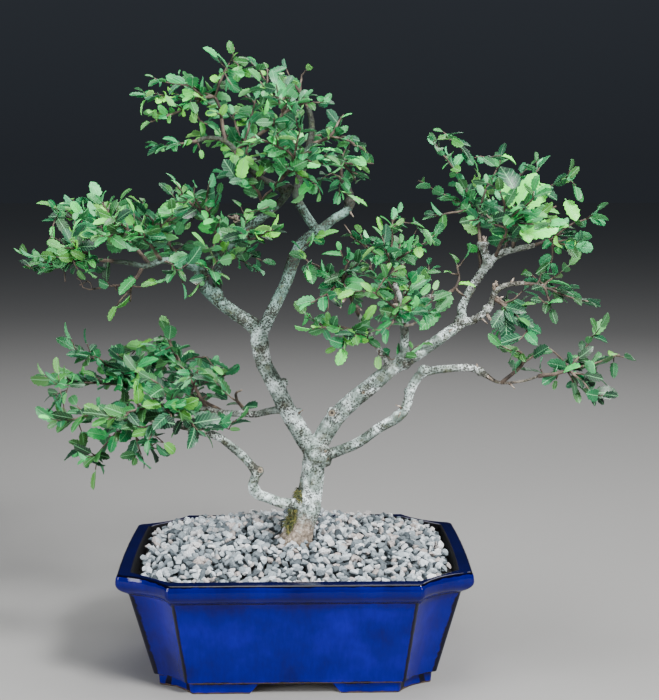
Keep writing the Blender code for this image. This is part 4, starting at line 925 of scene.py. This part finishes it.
def pot_levels():
    """The pot's outer face from its feet to its rim, as (how far in from the rim, corner cut, height)."""
    neck_cut = [c * NECK_CUT_SHARE for c in RIM_CUT]
    foot = [WALL_TAPER + FOOT_INSET] * 2
    levels = [
        ([f + FOOT_DRAFT for f in foot], BASE_CUT, 0.0),
        (foot, BASE_CUT, FOOT_HEIGHT),
        ([WALL_TAPER] * 2, BASE_CUT, FOOT_HEIGHT + FOOT_STEP),
        ([o + COVE[0] for o in LIP_OVERHANG], neck_cut, NECK_HEIGHT - COVE[1]),
        (LIP_OVERHANG, neck_cut, NECK_HEIGHT),
    ]
    for overhang, height in LIP_PROFILE:
        cut = [between(r, n, min(1.0, overhang)) for r, n in zip(RIM_CUT, neck_cut)]
        levels.append(([o * overhang for o in LIP_OVERHANG], cut, NECK_HEIGHT + height))
    return levels


def inwardness(face):
    """How much a face of the pot looks towards its middle, from -1 to 1."""
    return -face.normal.to_2d().dot(face.calc_center_median().to_2d().normalized())


def make_pot(finishes):
    """The glazed body: feet, leaning walls that sweep out under a rolled lip, and hollowed corners.

    Its finishes are the glaze, the clay inside, near black as painted shade, and the clay underneath.
    """
    rings = []
    for inset, cut, z in pot_levels():
        rings.append(ring([r - i for r, i in zip(RIM, inset)], cut, z, CORNER_SCOOP))
    rings += [inner_ring(z, inset) for z, inset in [*INNER_LIP, (FLOOR_TOP, 0.0)]]
    bm = extrude_rings(rings)
    upright = []
    for edge in bm.edges:
        rise = abs(edge.verts[0].co.z - edge.verts[1].co.z)
        inside = all(inwardness(face) > 0 for face in edge.link_faces)
        if rise > 0.3 * edge.calc_length() and edge.calc_face_angle(0) > CREASE_TURN and not inside:
            upright.append(edge)
    soften(bm, upright, CREASE_BEVEL, 3)
    body = helper("pot_body", mesh_of(bm, "pot_body"))
    tools = pot_cutters()
    for tool in tools:
        cut = body.modifiers.new(tool.name, "BOOLEAN")
        cut.operation = "DIFFERENCE"
        cut.solver = "EXACT"
        cut.object = tool
    bm = evaluated_bmesh(body)
    for tool in tools:
        bpy.data.objects.remove(tool, do_unlink=True)
    # Low faces that look down or in take the bare clay; the floor and the other faces that look in take the
    # inner clay, near black as painted shade.
    for face in bm.faces:
        height = face.calc_center_median().z
        low = height < FOOT_RECESS_DEPTH + CLOSE
        bare = face.normal.z < -0.5 if low else abs(height - FLOOR_TOP) < CLOSE
        if bare or inwardness(face) > 0.3:
            face.material_index = 2 if low else 1
    pot = piece(bm, "glazed_pot", finishes, ["pot"], crease_angle=34)
    even = pot.modifiers.new("even_shading", "WEIGHTED_NORMAL")
    even.keep_sharp = True


def gravel_surface(x, y):
    """Height of the gravel mound: low along the rim, with its crest just behind the trunk."""
    across = max(0.0, 1 - (x / GRAVEL_REACH[0]) ** 2)
    along = max(0.0, 1 - ((y - GRAVEL_CREST_Y) / GRAVEL_REACH[1]) ** 2)
    return GRAVEL_EDGE + GRAVEL_MOUND * across * along


def inside_ring(x, y, corners, margin):
    """Whether a place lies inside a convex anticlockwise ring by at least a margin."""
    for start, end in zip(corners, corners[1:] + corners[:1]):
        edge = (end - start).to_2d().normalized()
        if edge.cross(Vector((x, y)) - start.to_2d()) < margin:
            return False
    return True


def stone_template(corners, worn, rng):
    """One crushed stone of radius 1: the hull of a few corners, with its edges worn off."""
    bm = bmesh.new()
    while len(bm.verts) < corners:
        place = any_direction(rng) * rng.uniform(0.88, 1.1)
        if all((place - vert.co).length > 0.62 for vert in bm.verts):
            bm.verts.new(place)
    hull = bmesh.ops.convex_hull(bm, input=bm.verts[:])
    within = [item for item in hull["geom_interior"] if isinstance(item, bmesh.types.BMVert)]
    bmesh.ops.delete(bm, geom=within, context="VERTS")
    stretch = [rng.uniform(*span) for span in ((1.0, 1.35), (0.75, 1.0), (0.48, 0.75))]
    bmesh.ops.scale(bm, verts=bm.verts, vec=stretch)
    if worn:
        soften(bm, bm.edges[:], worn, 1)
    bmesh.ops.recalc_face_normals(bm, faces=bm.faces)
    bm.loops.layers.uv.new("tint")
    return mesh_of(bm, "stone")


def make_gravel(stone, bed):
    """The top dressing: two courses of loose stones over a bed of finer grit. The lower course and the bed
    are darkened as painted shade in the gaps between the upper stones.
    """
    rng = random.Random(GRAVEL_SEED)
    fine = [stone_template(10, 0.05, rng) for _ in range(16)]
    plain = [stone_template(9, 0.0, rng) for _ in range(4)]
    edge = inner_ring(GRAVEL_EDGE, GAP)
    bm = bmesh.new()
    # The lower course keeps to the darkest sorts of stone, as painted shade in the gaps between the upper
    # stones.
    for templates, pitch, lift, size, lightest in [
        (plain, 0.0064, -0.0052, 0.0040, 0.12), (fine, 0.0062, 0.0003, 0.0035, 1.0)
    ]:
        for row in range(-STONE_ROWS, STONE_ROWS + 1):
            for column in range(-STONE_COLUMNS, STONE_COLUMNS + 1):
                x = (column + 0.5 * (row % 2) + rng.uniform(-0.3, 0.3)) * pitch
                y = (row + rng.uniform(-0.3, 0.3)) * (pitch * math.sqrt(3) / 2)
                radius = size * rng.uniform(0.7, 1.25)
                away = (Vector((x, y)) - TRUNK_AT_GRAVEL).length
                if away < ROOT_CLEARANCE or not inside_ring(x, y, edge, radius):
                    continue
                z = gravel_surface(x, y) + lift + rng.uniform(-0.0012, 0.0012)
                turn = Matrix.Rotation(rng.uniform(0, math.tau), 4, "Z")
                tip = Matrix.Rotation(rng.gauss(0, 0.7), 4, "X") @ Matrix.Rotation(rng.gauss(0, 0.7), 4, "Y")
                matrix = Matrix.Translation((x, y, z)) @ turn @ tip @ Matrix.Scale(radius, 4)
                add_copy(bm, rng.choice(templates), matrix, (rng.random() * lightest, 0.0))
    piece(bm, "gravel_stones", [stone], ["gravel"], crease_angle=22)
    rings = [inner_ring(SOIL_TOP + GAP, GAP)]
    for share in BED_SHARES:
        level = [(p.x * share, p.y * share) for p in edge]
        rings.append([Vector((x, y, gravel_surface(x, y) - BED_DEPTH)) for x, y in level])
    # The bed is coloured near black as painted shade between the stones.
    piece(extrude_rings(rings), "gravel_bed", [bed])


def limb_lines():
    """Every limb as a smooth line in metres."""
    table = {"trunk": TRUNK, **LIMBS}
    return {name: smooth_line([metres(p) for p in points], LINE_STEP) for name, points in table.items()}


def limb_finder(lines):
    """A function that gives, for a place, the nearest limb's radius and how far away its heart is."""
    stations = [place for line in lines.values() for place in line]
    hearts = kdtree.KDTree(len(stations))
    for i, place in enumerate(stations):
        hearts.insert(place.to_3d(), i)
    hearts.balance()

    def nearest_limb(place):
        """The nearest limb's radius, and the distance from its heart."""
        _, index, away = hearts.find(place)
        return stations[index].w, away

    return nearest_limb


def root_lines():
    """Low buttress roots that spread from the trunk's foot under the gravel."""
    lines = []
    for angle, reach in ((200, 8.5), (262, 11), (318, 12), (20, 11.5), (78, 12), (140, 9)):
        across = Vector((math.cos(math.radians(angle)), math.sin(math.radians(angle))))
        line = []
        for share, z, radius in [(0.3, 118, 4.6), (0.45, 106, 4.6), (0.72, 96, 4.4), (1.0, 84, 4.2)]:
            lean = 0.24 * max(0, z - 86) if z > 99 else 0
            x = ROOT_CENTRE.x * 1000 + across.x * reach * share + lean
            line.append(metres((x, ROOT_CENTRE.y * 1000 + across.y * reach * share, z, radius)))
        lines.append(smooth_line(line, LINE_STEP))
    return lines


def make_wood(bark, lines, nearest_limb):
    """Trunk, root crown and limbs as one skin, with knots, cut scars and an uneven surface."""
    bm = tubes([*lines.values(), *root_lines()], 3)
    for *place, radius in KNOTS:
        knot = bmesh.ops.create_icosphere(bm, subdivisions=3, radius=radius / 1000)["verts"]
        bmesh.ops.translate(bm, verts=knot, vec=metres(place))
    wood = helper("wood", mesh_of(bm, "wood"))
    skin = wood.modifiers.new("skin", "REMESH")
    skin.mode = "VOXEL"
    skin.voxel_size = VOXEL
    bm = evaluated_bmesh(wood)
    for _ in range(2):
        bmesh.ops.smooth_vert(
            bm, verts=bm.verts, factor=0.5, use_axis_x=True, use_axis_y=True, use_axis_z=True
        )
    bm.normal_update()
    girth, foot, scar, crack = (bm.verts.layers.float.new(name) for name in WOOD_MAPS)
    moves = []  # applied at the end, so that every vertex is measured on the smooth skin
    for vert in bm.verts:
        place = vert.co
        radius, _ = nearest_limb(place)
        young = YOUNG_RADIUS + (YOUNG_RADIUS if place.z > YOUNG_HEIGHT else 0.0)
        vert[girth] = clamped((radius - young) / YOUNG_SPAN)
        uneven = noise.fractal(place * 160, 0.8, 2.0, 3) * 0.007 - place.x * 0.3
        vert[foot] = clamped((FOOT_TOP + uneven - place.z) / FOOT_FADE)
        near = nearness(place, SCARS)
        vert[scar] = clamped(1.3 - near + noise.noise(place * 900) * 0.25)
        rough = 1 - nearness(place, CRACKED)
        vert[crack] = clamped(rough * 0.9 + noise.noise(place * 500) * 0.45)
        swell = noise.noise(place * 95) * 0.07 * radius
        crumb = noise.fractal(place * 420, 0.6, 2.2, 3) * min(0.00032, 0.05 * radius)
        collar = 0.0006 * math.exp(-(((near - 1.15) / 0.3) ** 2))
        pit = -0.0008 if near < 0.8 else 0.0
        torn = noise.noise(place * 600) * 0.0011 * max(0.0, rough) ** 0.5
        moves.append(vert.normal * (swell + crumb + collar + pit + torn))
    for vert, move in zip(bm.verts, moves):
        vert.co += move
    surface = BVHTree.FromBMesh(bm)
    piece(bm, "elm_wood", [bark], ["tree"])
    return surface


def make_spurs(dead_wood):
    """Dry spurs and the splintered ends of old cuts, each a short tapering stick out of its limb."""
    rng = random.Random(SPUR_SEED)
    lines = []
    for *ends, radius in SPURS:
        start, end = map(metres, ends)
        middle = start.lerp(end, 0.5) + any_direction(rng) * (end - start).length * 0.12
        lines.append(stick((start, radius), (middle, radius * 0.85), (end, radius * 0.45)))
    for *place, radius in SPLINTERED:
        for _ in range(SPLINTERS_A_STUB):
            lean = any_direction(rng) * 0.6 + UP
            foot = metres(place) + any_direction(rng) * radius * 0.0006
            tip = foot + lean.normalized() * rng.uniform(0.0016, 0.0034)
            lines.append(stick((foot - lean * 0.001, 0.0008), (tip, 0.0003)))
    piece(tubes(lines, 1), "dry_spurs", [dead_wood])


def make_moss(finish_of_moss, surface):
    """Tufts of moss in the crotch under the lowest limb and down the left of the root crown."""
    rng = random.Random(MOSS_SEED)
    lines = []
    while len(lines) < MOSS_TUFTS:
        share = rng.random()
        x, z = between(0.0035, -0.0065, share), between(0.137, 0.110, share)
        spot = Vector((x, rng.uniform(-0.016, 0.002), z))
        place, normal, _, _ = surface.find_nearest(spot + any_direction(rng) * 0.0026)
        if normal.x > 0.15 or place.x > 0.006 or place.z < 0.104:
            continue
        length = rng.uniform(0.0015, 0.0050)
        drift = (normal * 0.6 + any_direction(rng) * 0.7 - UP * 0.9).normalized()
        middle = place + normal * length * 0.45
        tip = middle + drift * length * 0.8
        lines.append(stick((place - normal * 0.0004, 0.00040), (middle, 0.00032), (tip, 0.00012)))
    piece(tubes(lines, 0), "moss_tufts", [finish_of_moss])


def leaf_template(width, bend, fold, wave, twist):
    """One leaf of length 1: a flat toothed blade with its stalk, given a thickness and then curved."""
    stations = len(LEAF_EDGE) - 1
    bm = bmesh.new()
    bmesh.ops.create_grid(bm, x_segments=2, y_segments=stations, size=1.0)
    for vert in bm.verts:
        along, half = LEAF_EDGE[round((vert.co.y + 1) / 2 * stations)]
        side = round(vert.co.x)
        lean = 0.94 if side > 0 else 1.0
        vert.co = Vector((side * half * width / 2 * lean, along, 0.0))
    bmesh.ops.recalc_face_normals(bm, faces=bm.faces)
    bmesh.ops.solidify(bm, geom=bm.faces[:], thickness=LEAF_THICKNESS)
    bmesh.ops.recalc_face_normals(bm, faces=bm.faces)
    blade = bm.loops.layers.uv.new("blade")
    bm.loops.layers.uv.new("tint")
    for face in bm.faces:
        face.material_index = 0 if face.normal.z > -0.2 else 1
        for loop in face.loops:
            loop[blade].uv = (loop.vert.co.x / width + 0.5, loop.vert.co.y)
    for vert in bm.verts:
        x, y, z = vert.co
        aside = abs(x) / (width / 2)
        swing = math.sin(y * 15 + 2 * math.copysign(1, x))
        height = z - 0.5 * bend * y * y + fold * abs(x) + wave * swing * aside**2
        turned = Matrix.Rotation(twist * y, 3, "Y") @ Vector((x, 0, height))
        vert.co = Vector((turned.x, y * (1 - 0.12 * bend * bend), turned.z))
    return mesh_of(bm, "leaf")


def leaf_templates():
    """A dozen leaves that differ in width, bend, fold, wave and twist."""
    rng = random.Random(LEAF_SEED)
    spans = ((0.47, 0.62), (0.05, 0.75), (0.05, 0.42), (0.004, 0.022), (-0.35, 0.35))
    return [leaf_template(*[rng.uniform(*span) for span in spans]) for _ in range(12)]


class Pad:
    """One cloud of foliage while it grows: its twigs, its leaves, and the middle that it spreads from."""

    def __init__(self, name, nearest_limb):
        self.name = name
        self.nearest_limb = nearest_limb
        self.tips = [metres(tip) for row in SPRAYS[name] for tip in row[3]]
        self.middle = sum(self.tips, Vector()) / len(self.tips) - UP * 0.012
        self.leaf_size, self.shoot_spacing, self.fill_tries, self.shade = PAD_GROWTH[name]
        self.twigs = []
        self.leaves = []
        self.rng = random.Random(name)

    def clear(self, place, margin=TWIG_MARGIN):
        """Whether a place is inside the box of the solids and outside the wood."""
        here = place + HOME
        inside = all(low + margin < v < high - margin for low, v, high in zip(CAD_BOX[0], here, CAD_BOX[1]))
        radius, away = self.nearest_limb(place)
        return inside and away - radius > WOOD_GAP

    def thinned(self, spot):
        """Whether nothing grows here, by chance, because the foliage is thin at this place."""
        away = min(math.hypot(spot.x * 1000 - x, spot.z * 1000 - z) / reach for x, z, reach in THINNED)
        return away < 1 and self.rng.random() < 0.80

    def hang(self, foot, across, along, size, shade, newness):
        """Hangs a leaf at its foot, with its blade along one direction and across another."""
        turned = Matrix((across, along, across.cross(along))).transposed().to_4x4() @ Matrix.Scale(size, 4)
        self.leaves.append((Matrix.Translation(foot) @ turned, shade, newness))

    def add_leaf(self, spot, direction, turn, size, newness):
        """One leaf, turned out of its twig and with its face up and outwards."""
        rng = self.rng
        if self.thinned(spot):
            return
        for _ in range(6):
            level = direction.cross(UP) + any_direction(rng) * 0.35
            spread = math.radians(rng.uniform(34, 68)) * turn
            along = direction * math.cos(spread) + level.normalized() * math.sin(spread)
            along = (along + UP * rng.uniform(-0.35, 0.40)).normalized()
            outwards = spot - self.middle
            outwards.z *= 0.3
            facing = UP * 0.55 + outwards.normalized() * 0.55 + any_direction(rng) * 0.8
            across = along.cross(facing).normalized()
            wings = [spot + along * size * 0.6 + across * side * size * 0.3 for side in (-1, 1)]
            if all(self.clear(place, BOX_MARGIN) for place in (spot + along * size, *wings)):
                self.hang(spot, across, along, size, clamped(rng.gauss(self.shade, 0.28)), newness)
                return

    def leafy(self, line, start, spacing, newness):
        """Leaves on alternate sides of a twig, and one at its tip."""
        rng = self.rng
        count = max(1, round(sum(lengths_of(line)) * (1 - start) / spacing))
        for k in range(count + 1):
            share = between(start, 1.0, k / count)
            place, direction = place_on(line, share)
            last = k == count
            turn = 0.0 if last else (1 if k % 2 else -1)
            size = self.leaf_size * rng.uniform(0.68, 1.36) * (0.78 if last else 1.0 - 0.15 * share)
            fresh = newness * share**2 + rng.uniform(-0.1, 0.1)
            fresh += rng.uniform(0.3, 0.7) if rng.random() < 0.05 else 0.0
            # Clouds darkened as painted shade also get fewer bright new leaves.
            fresh *= min(1.0, 2.2 * self.shade)
            fresh += 0.9 if nearness(place.to_3d(), FRESH_SPOTS) < 1 else 0.0
            self.add_leaf(place.to_3d(), direction, turn, size, clamped(fresh))

    def twig(self, *rows):
        """A twig through a few places with their radii, bent a little between them."""
        line = smooth_line(stick(*rows), TWIG_STEP)
        for place in line[1:-1]:
            place.xyz = place.xyz + noise.noise_vector(place.to_3d() * SWAYS_A_METRE) * SWAY
        self.twigs.append(line)
        return line

    def shoot(self, parent, share, side, length, newness):
        """A short shoot from the side of a twig, with its own leaves."""
        rng = self.rng
        place, direction = place_on(parent, share)
        radius = min(place.w, TWIG_RADIUS)
        foot = place.to_3d()
        outwards = (foot - self.middle).normalized()
        heading = direction * 0.55 + direction.cross(UP).normalized() * side * 0.75 + outwards * 0.35
        heading = (heading + UP * rng.uniform(-0.25, 0.55)).normalized()
        middle = foot + heading * length * 0.5
        tip = middle + (heading + any_direction(rng) * 0.3 + UP * 0.15).normalized() * length * 0.5
        if self.clear(tip) and self.clear(middle) and not self.thinned(tip):
            line = self.twig((foot, radius), (middle, radius * 0.8), (tip, TIP_RADIUS))
            self.leafy(line, 0.18, self.leaf_size * 0.36, newness)

    def grow(self, limb, share, fork, tips):
        """One spray: a stem out of its limb, side twigs from the fork, and shoots along them."""
        rng = self.rng
        seat, direction = place_on(limb, share)
        base = seat.to_3d() - direction * (0.002 if share == 1 else 0.0)
        fork = metres(fork)
        for i, tip in enumerate(tips):
            tip = metres(tip)
            elbow = fork.lerp(tip, 0.5) + UP * 0.0015 + any_direction(rng) * 0.002
            start = [(fork, SIDE_RADIUS)] if i else [(base, STEM_RADIUS), (fork, FORK_RADIUS)]
            line = self.twig(*start, (elbow, TWIG_RADIUS), (tip, SIDE_TIP_RADIUS))
            newness = rng.uniform(0.15, 0.75) if rng.random() < 0.45 else 0.05
            self.leafy(line, 0.12 if i else 0.25, self.leaf_size * 0.42, newness)
            count = max(2, round(sum(lengths_of(line)) / self.shoot_spacing))
            for k in range(count):
                at = between(0.15 if i else 0.28, 0.92, k / (count - 1))
                length = rng.uniform(0.011, 0.023) * (1.15 - 0.5 * at)
                self.shoot(line, at, 1 if k % 2 else -1, length, newness * rng.uniform(0.5, 1.1))

    def fill(self):
        """Further twigs into the gaps between the tips, each from the nearest twig that is already there."""
        rng = self.rng
        for _ in range(self.fill_tries):
            first, second = rng.sample(self.tips, 2)
            if (first - second).length > FILL_REACH:
                continue
            target = first.lerp(second, rng.uniform(0.1, 0.9)) + any_direction(rng) * 0.005
            target += (self.middle - target) * rng.uniform(0.0, 0.35)
            if min((matrix.translation - target).length for matrix, _, _ in self.leaves) > FILL_GAP:
                self.reach(target, GAP_LIMIT, rng.uniform(-0.1, 0.5))
        for target in EXTRA_TIPS[self.name]:
            self.reach(metres(target), TIP_LIMIT, rng.uniform(-0.1, 0.5))

    def reach(self, target, limit, newness):
        """One more leafy twig, from the nearest twig to a target that is neither too near nor too far."""
        rng = self.rng
        places = [place for line in self.twigs for place in line]
        root = min(places, key=lambda place: (place.to_3d() - target).length_squared)
        start = root.to_3d()
        away = (target - start).length
        if not SHORTEST_TWIG < away < limit or not self.clear(target):
            return
        elbow = start.lerp(target, 0.5) + UP * (away * 0.08) + any_direction(rng) * away * 0.08
        radius = min(root.w, TWIG_RADIUS)
        line = self.twig((start, radius), (elbow, radius * 0.85), (target, TIP_RADIUS))
        self.leafy(line, 0.3, self.leaf_size * 0.38, newness)
        if away > SHORTEST_FORKED_TWIG:
            self.shoot(line, 0.6, rng.choice((-1, 1)), rng.uniform(0.010, 0.016), newness)

    def feature_leaves(self):
        """Single large leaves that stand out of a cloud, each from its foot to its tip, facing the front."""
        for foot, tip, shade, newness in FEATURE_LEAVES.get(self.name, ()):
            foot = metres(foot)
            along = metres(tip) - foot
            size = along.length
            along.normalize()
            across = along.cross(Vector((0.1, -1.0, 0.35))).normalized()
            self.hang(foot, across, along, size, shade, newness)

    def make_pieces(self, twig_bark, blade_sides, templates):
        """The cloud's two pieces, its twigs and its leaves, in place of its sprays."""
        nodes = ["spray_" + self.name + "_" + str(i + 1) for i in range(len(SPRAYS[self.name]))]
        piece(tubes(self.twigs, 1), "twigs_" + self.name, [twig_bark], nodes)
        bm = bmesh.new()
        for matrix, shade, newness in self.leaves:
            add_copy(bm, self.rng.choice(templates), matrix, (shade, newness))
        piece(bm, "leaves_" + self.name, blade_sides, nodes, crease_angle=50)


def make_foliage(lines, nearest_limb):
    """Every cloud of foliage, grown out of its limbs."""
    twig_bark = twig_finish()
    upper_greens = ("#001A12", "#004C2C", "#088A48", "#48E466")
    under_greens = ("#0C4C32", "#1C7C4C", "#40AA6C", "#7CDC92")
    blade_sides = [
        leaf_finish("elm_leaf_upper", upper_greens, "#84EE4C", "#8CDC9A", 0.44, 0.12),
        leaf_finish("elm_leaf_underside", under_greens, "#A0EE74", "#A0E0AC", 0.58, 0.0),
    ]
    templates = leaf_templates()
    for name, rows in SPRAYS.items():
        pad = Pad(name, nearest_limb)
        for limb, *spray in rows:
            pad.grow(lines[limb], *spray)
        pad.fill()
        pad.feature_leaves()
        pad.make_pieces(twig_bark, blade_sides, templates)


def dress_solids():
    """Finishes for the solids that show as they are: the soil block and the drain screens."""
    soil = earth_finish("potting_soil", "#1C1510", "#4A382A")
    plastic = mesh_plastic_finish()
    for name, made in (("soil", soil), ("drain_screen_left", plastic), ("drain_screen_right", plastic)):
        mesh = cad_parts[name].data
        mesh.materials.clear()
        mesh.materials.append(made)


def soft_light(name, place, size, power, colour="#FFFFFF"):
    """A softbox that faces the middle of the tree."""
    data = bpy.data.lights.new(name, "AREA")
    data.shape = "RECTANGLE"
    data.size, data.size_y = size
    data.energy = power
    data.color = linear(colour)[:3]
    lamp = helper(name, data)
    lamp.location = place
    lamp.rotation_mode = "QUATERNION"
    lamp.rotation_quaternion = (HOME + UP * LIGHT_AIM - Vector(place)).to_track_quat("-Z", "Y")


def make_stage():
    """A pale floor, soft light from above and the sides, and the camera where the photograph was taken."""
    bm = bmesh.new()
    bmesh.ops.create_grid(bm, x_segments=1, y_segments=1, size=12.0)
    floor = helper("floor", mesh_of(bm, "floor"))
    floor.data.materials.append(finish("pale_floor", 0.75, Base_Color=linear("#8A8987"))[0])
    world = bpy.data.worlds.new("studio")
    world.use_nodes = True
    add = partial(node, world.node_tree)
    height = add("SeparateXYZ", [add("TexCoord", output="Generated")], "Z")
    sky = add("ValToRGB", [height], stops=[(0.0, "#33373D"), (0.2, "#40454D"), (1.0, "#666C74")])
    background = world.node_tree.nodes["Background"]
    world.node_tree.links.new(sky, background.inputs["Color"])
    background.inputs["Strength"].default_value = 0.6
    bpy.context.scene.world = world
    soft_light("key_light", (0.85, -1.15, 1.45), (0.42, 0.42), 80)
    soft_light("window_light", (-1.36, -0.80, 0.46), (0.45, 0.75), 22, "#F8FBFF")
    soft_light("top_light", (-0.15, -0.25, 1.7), (0.9, 0.7), 24)
    soft_light("left_strip_light", (-0.95, -1.25, 0.55), (0.04, 0.9), 9)
    soft_light("right_strip_light", (0.95, -1.25, 0.55), (0.04, 0.9), 9)
    soft_light("back_light", (0.4, 1.4, 1.2), (1.2, 0.6), 9)
    elevation, turn = map(math.radians, CAMERA_ANGLES)
    level = math.cos(elevation)
    back = Vector((math.sin(turn) * level, -math.cos(turn) * level, math.sin(elevation)))
    data = bpy.data.cameras.new("camera")
    data.lens = CAMERA_LENS
    data.sensor_width = CAMERA_SENSOR
    camera = helper("camera", data)
    camera.location = HOME + metres(CAMERA_AIM) + back * CAMERA_DISTANCE
    camera.rotation_mode = "QUATERNION"
    camera.rotation_quaternion = (-back).to_track_quat("-Z", "Y")
    bpy.context.scene.camera = camera


def main():
    """Makes the stage and every piece."""
    noise.seed_set(WANDER_SEED)
    make_stage()
    # The inside of the pot is coloured near black as painted shade.
    inside = clay_finish("clay_inside_pot_painted_shade", "#030306", "#0C0B0D", 0.7, 0.12)
    underside = clay_finish("bare_stoneware", "#4A392C", "#7E6652", 0.85, 0.3)
    make_pot([glaze_finish(), inside, underside])
    # The grit bed is coloured near black as painted shade between the stones.
    make_gravel(stone_finish(), earth_finish("grit_bed_painted_shade", "#080808", "#1C1C1B"))
    lines = limb_lines()
    nearest_limb = limb_finder(lines)
    surface = make_wood(bark_finish(), lines, nearest_limb)
    make_spurs(dead_wood_finish())
    make_moss(moss_finish(), surface)
    make_foliage(lines, nearest_limb)
    dress_solids()


main()
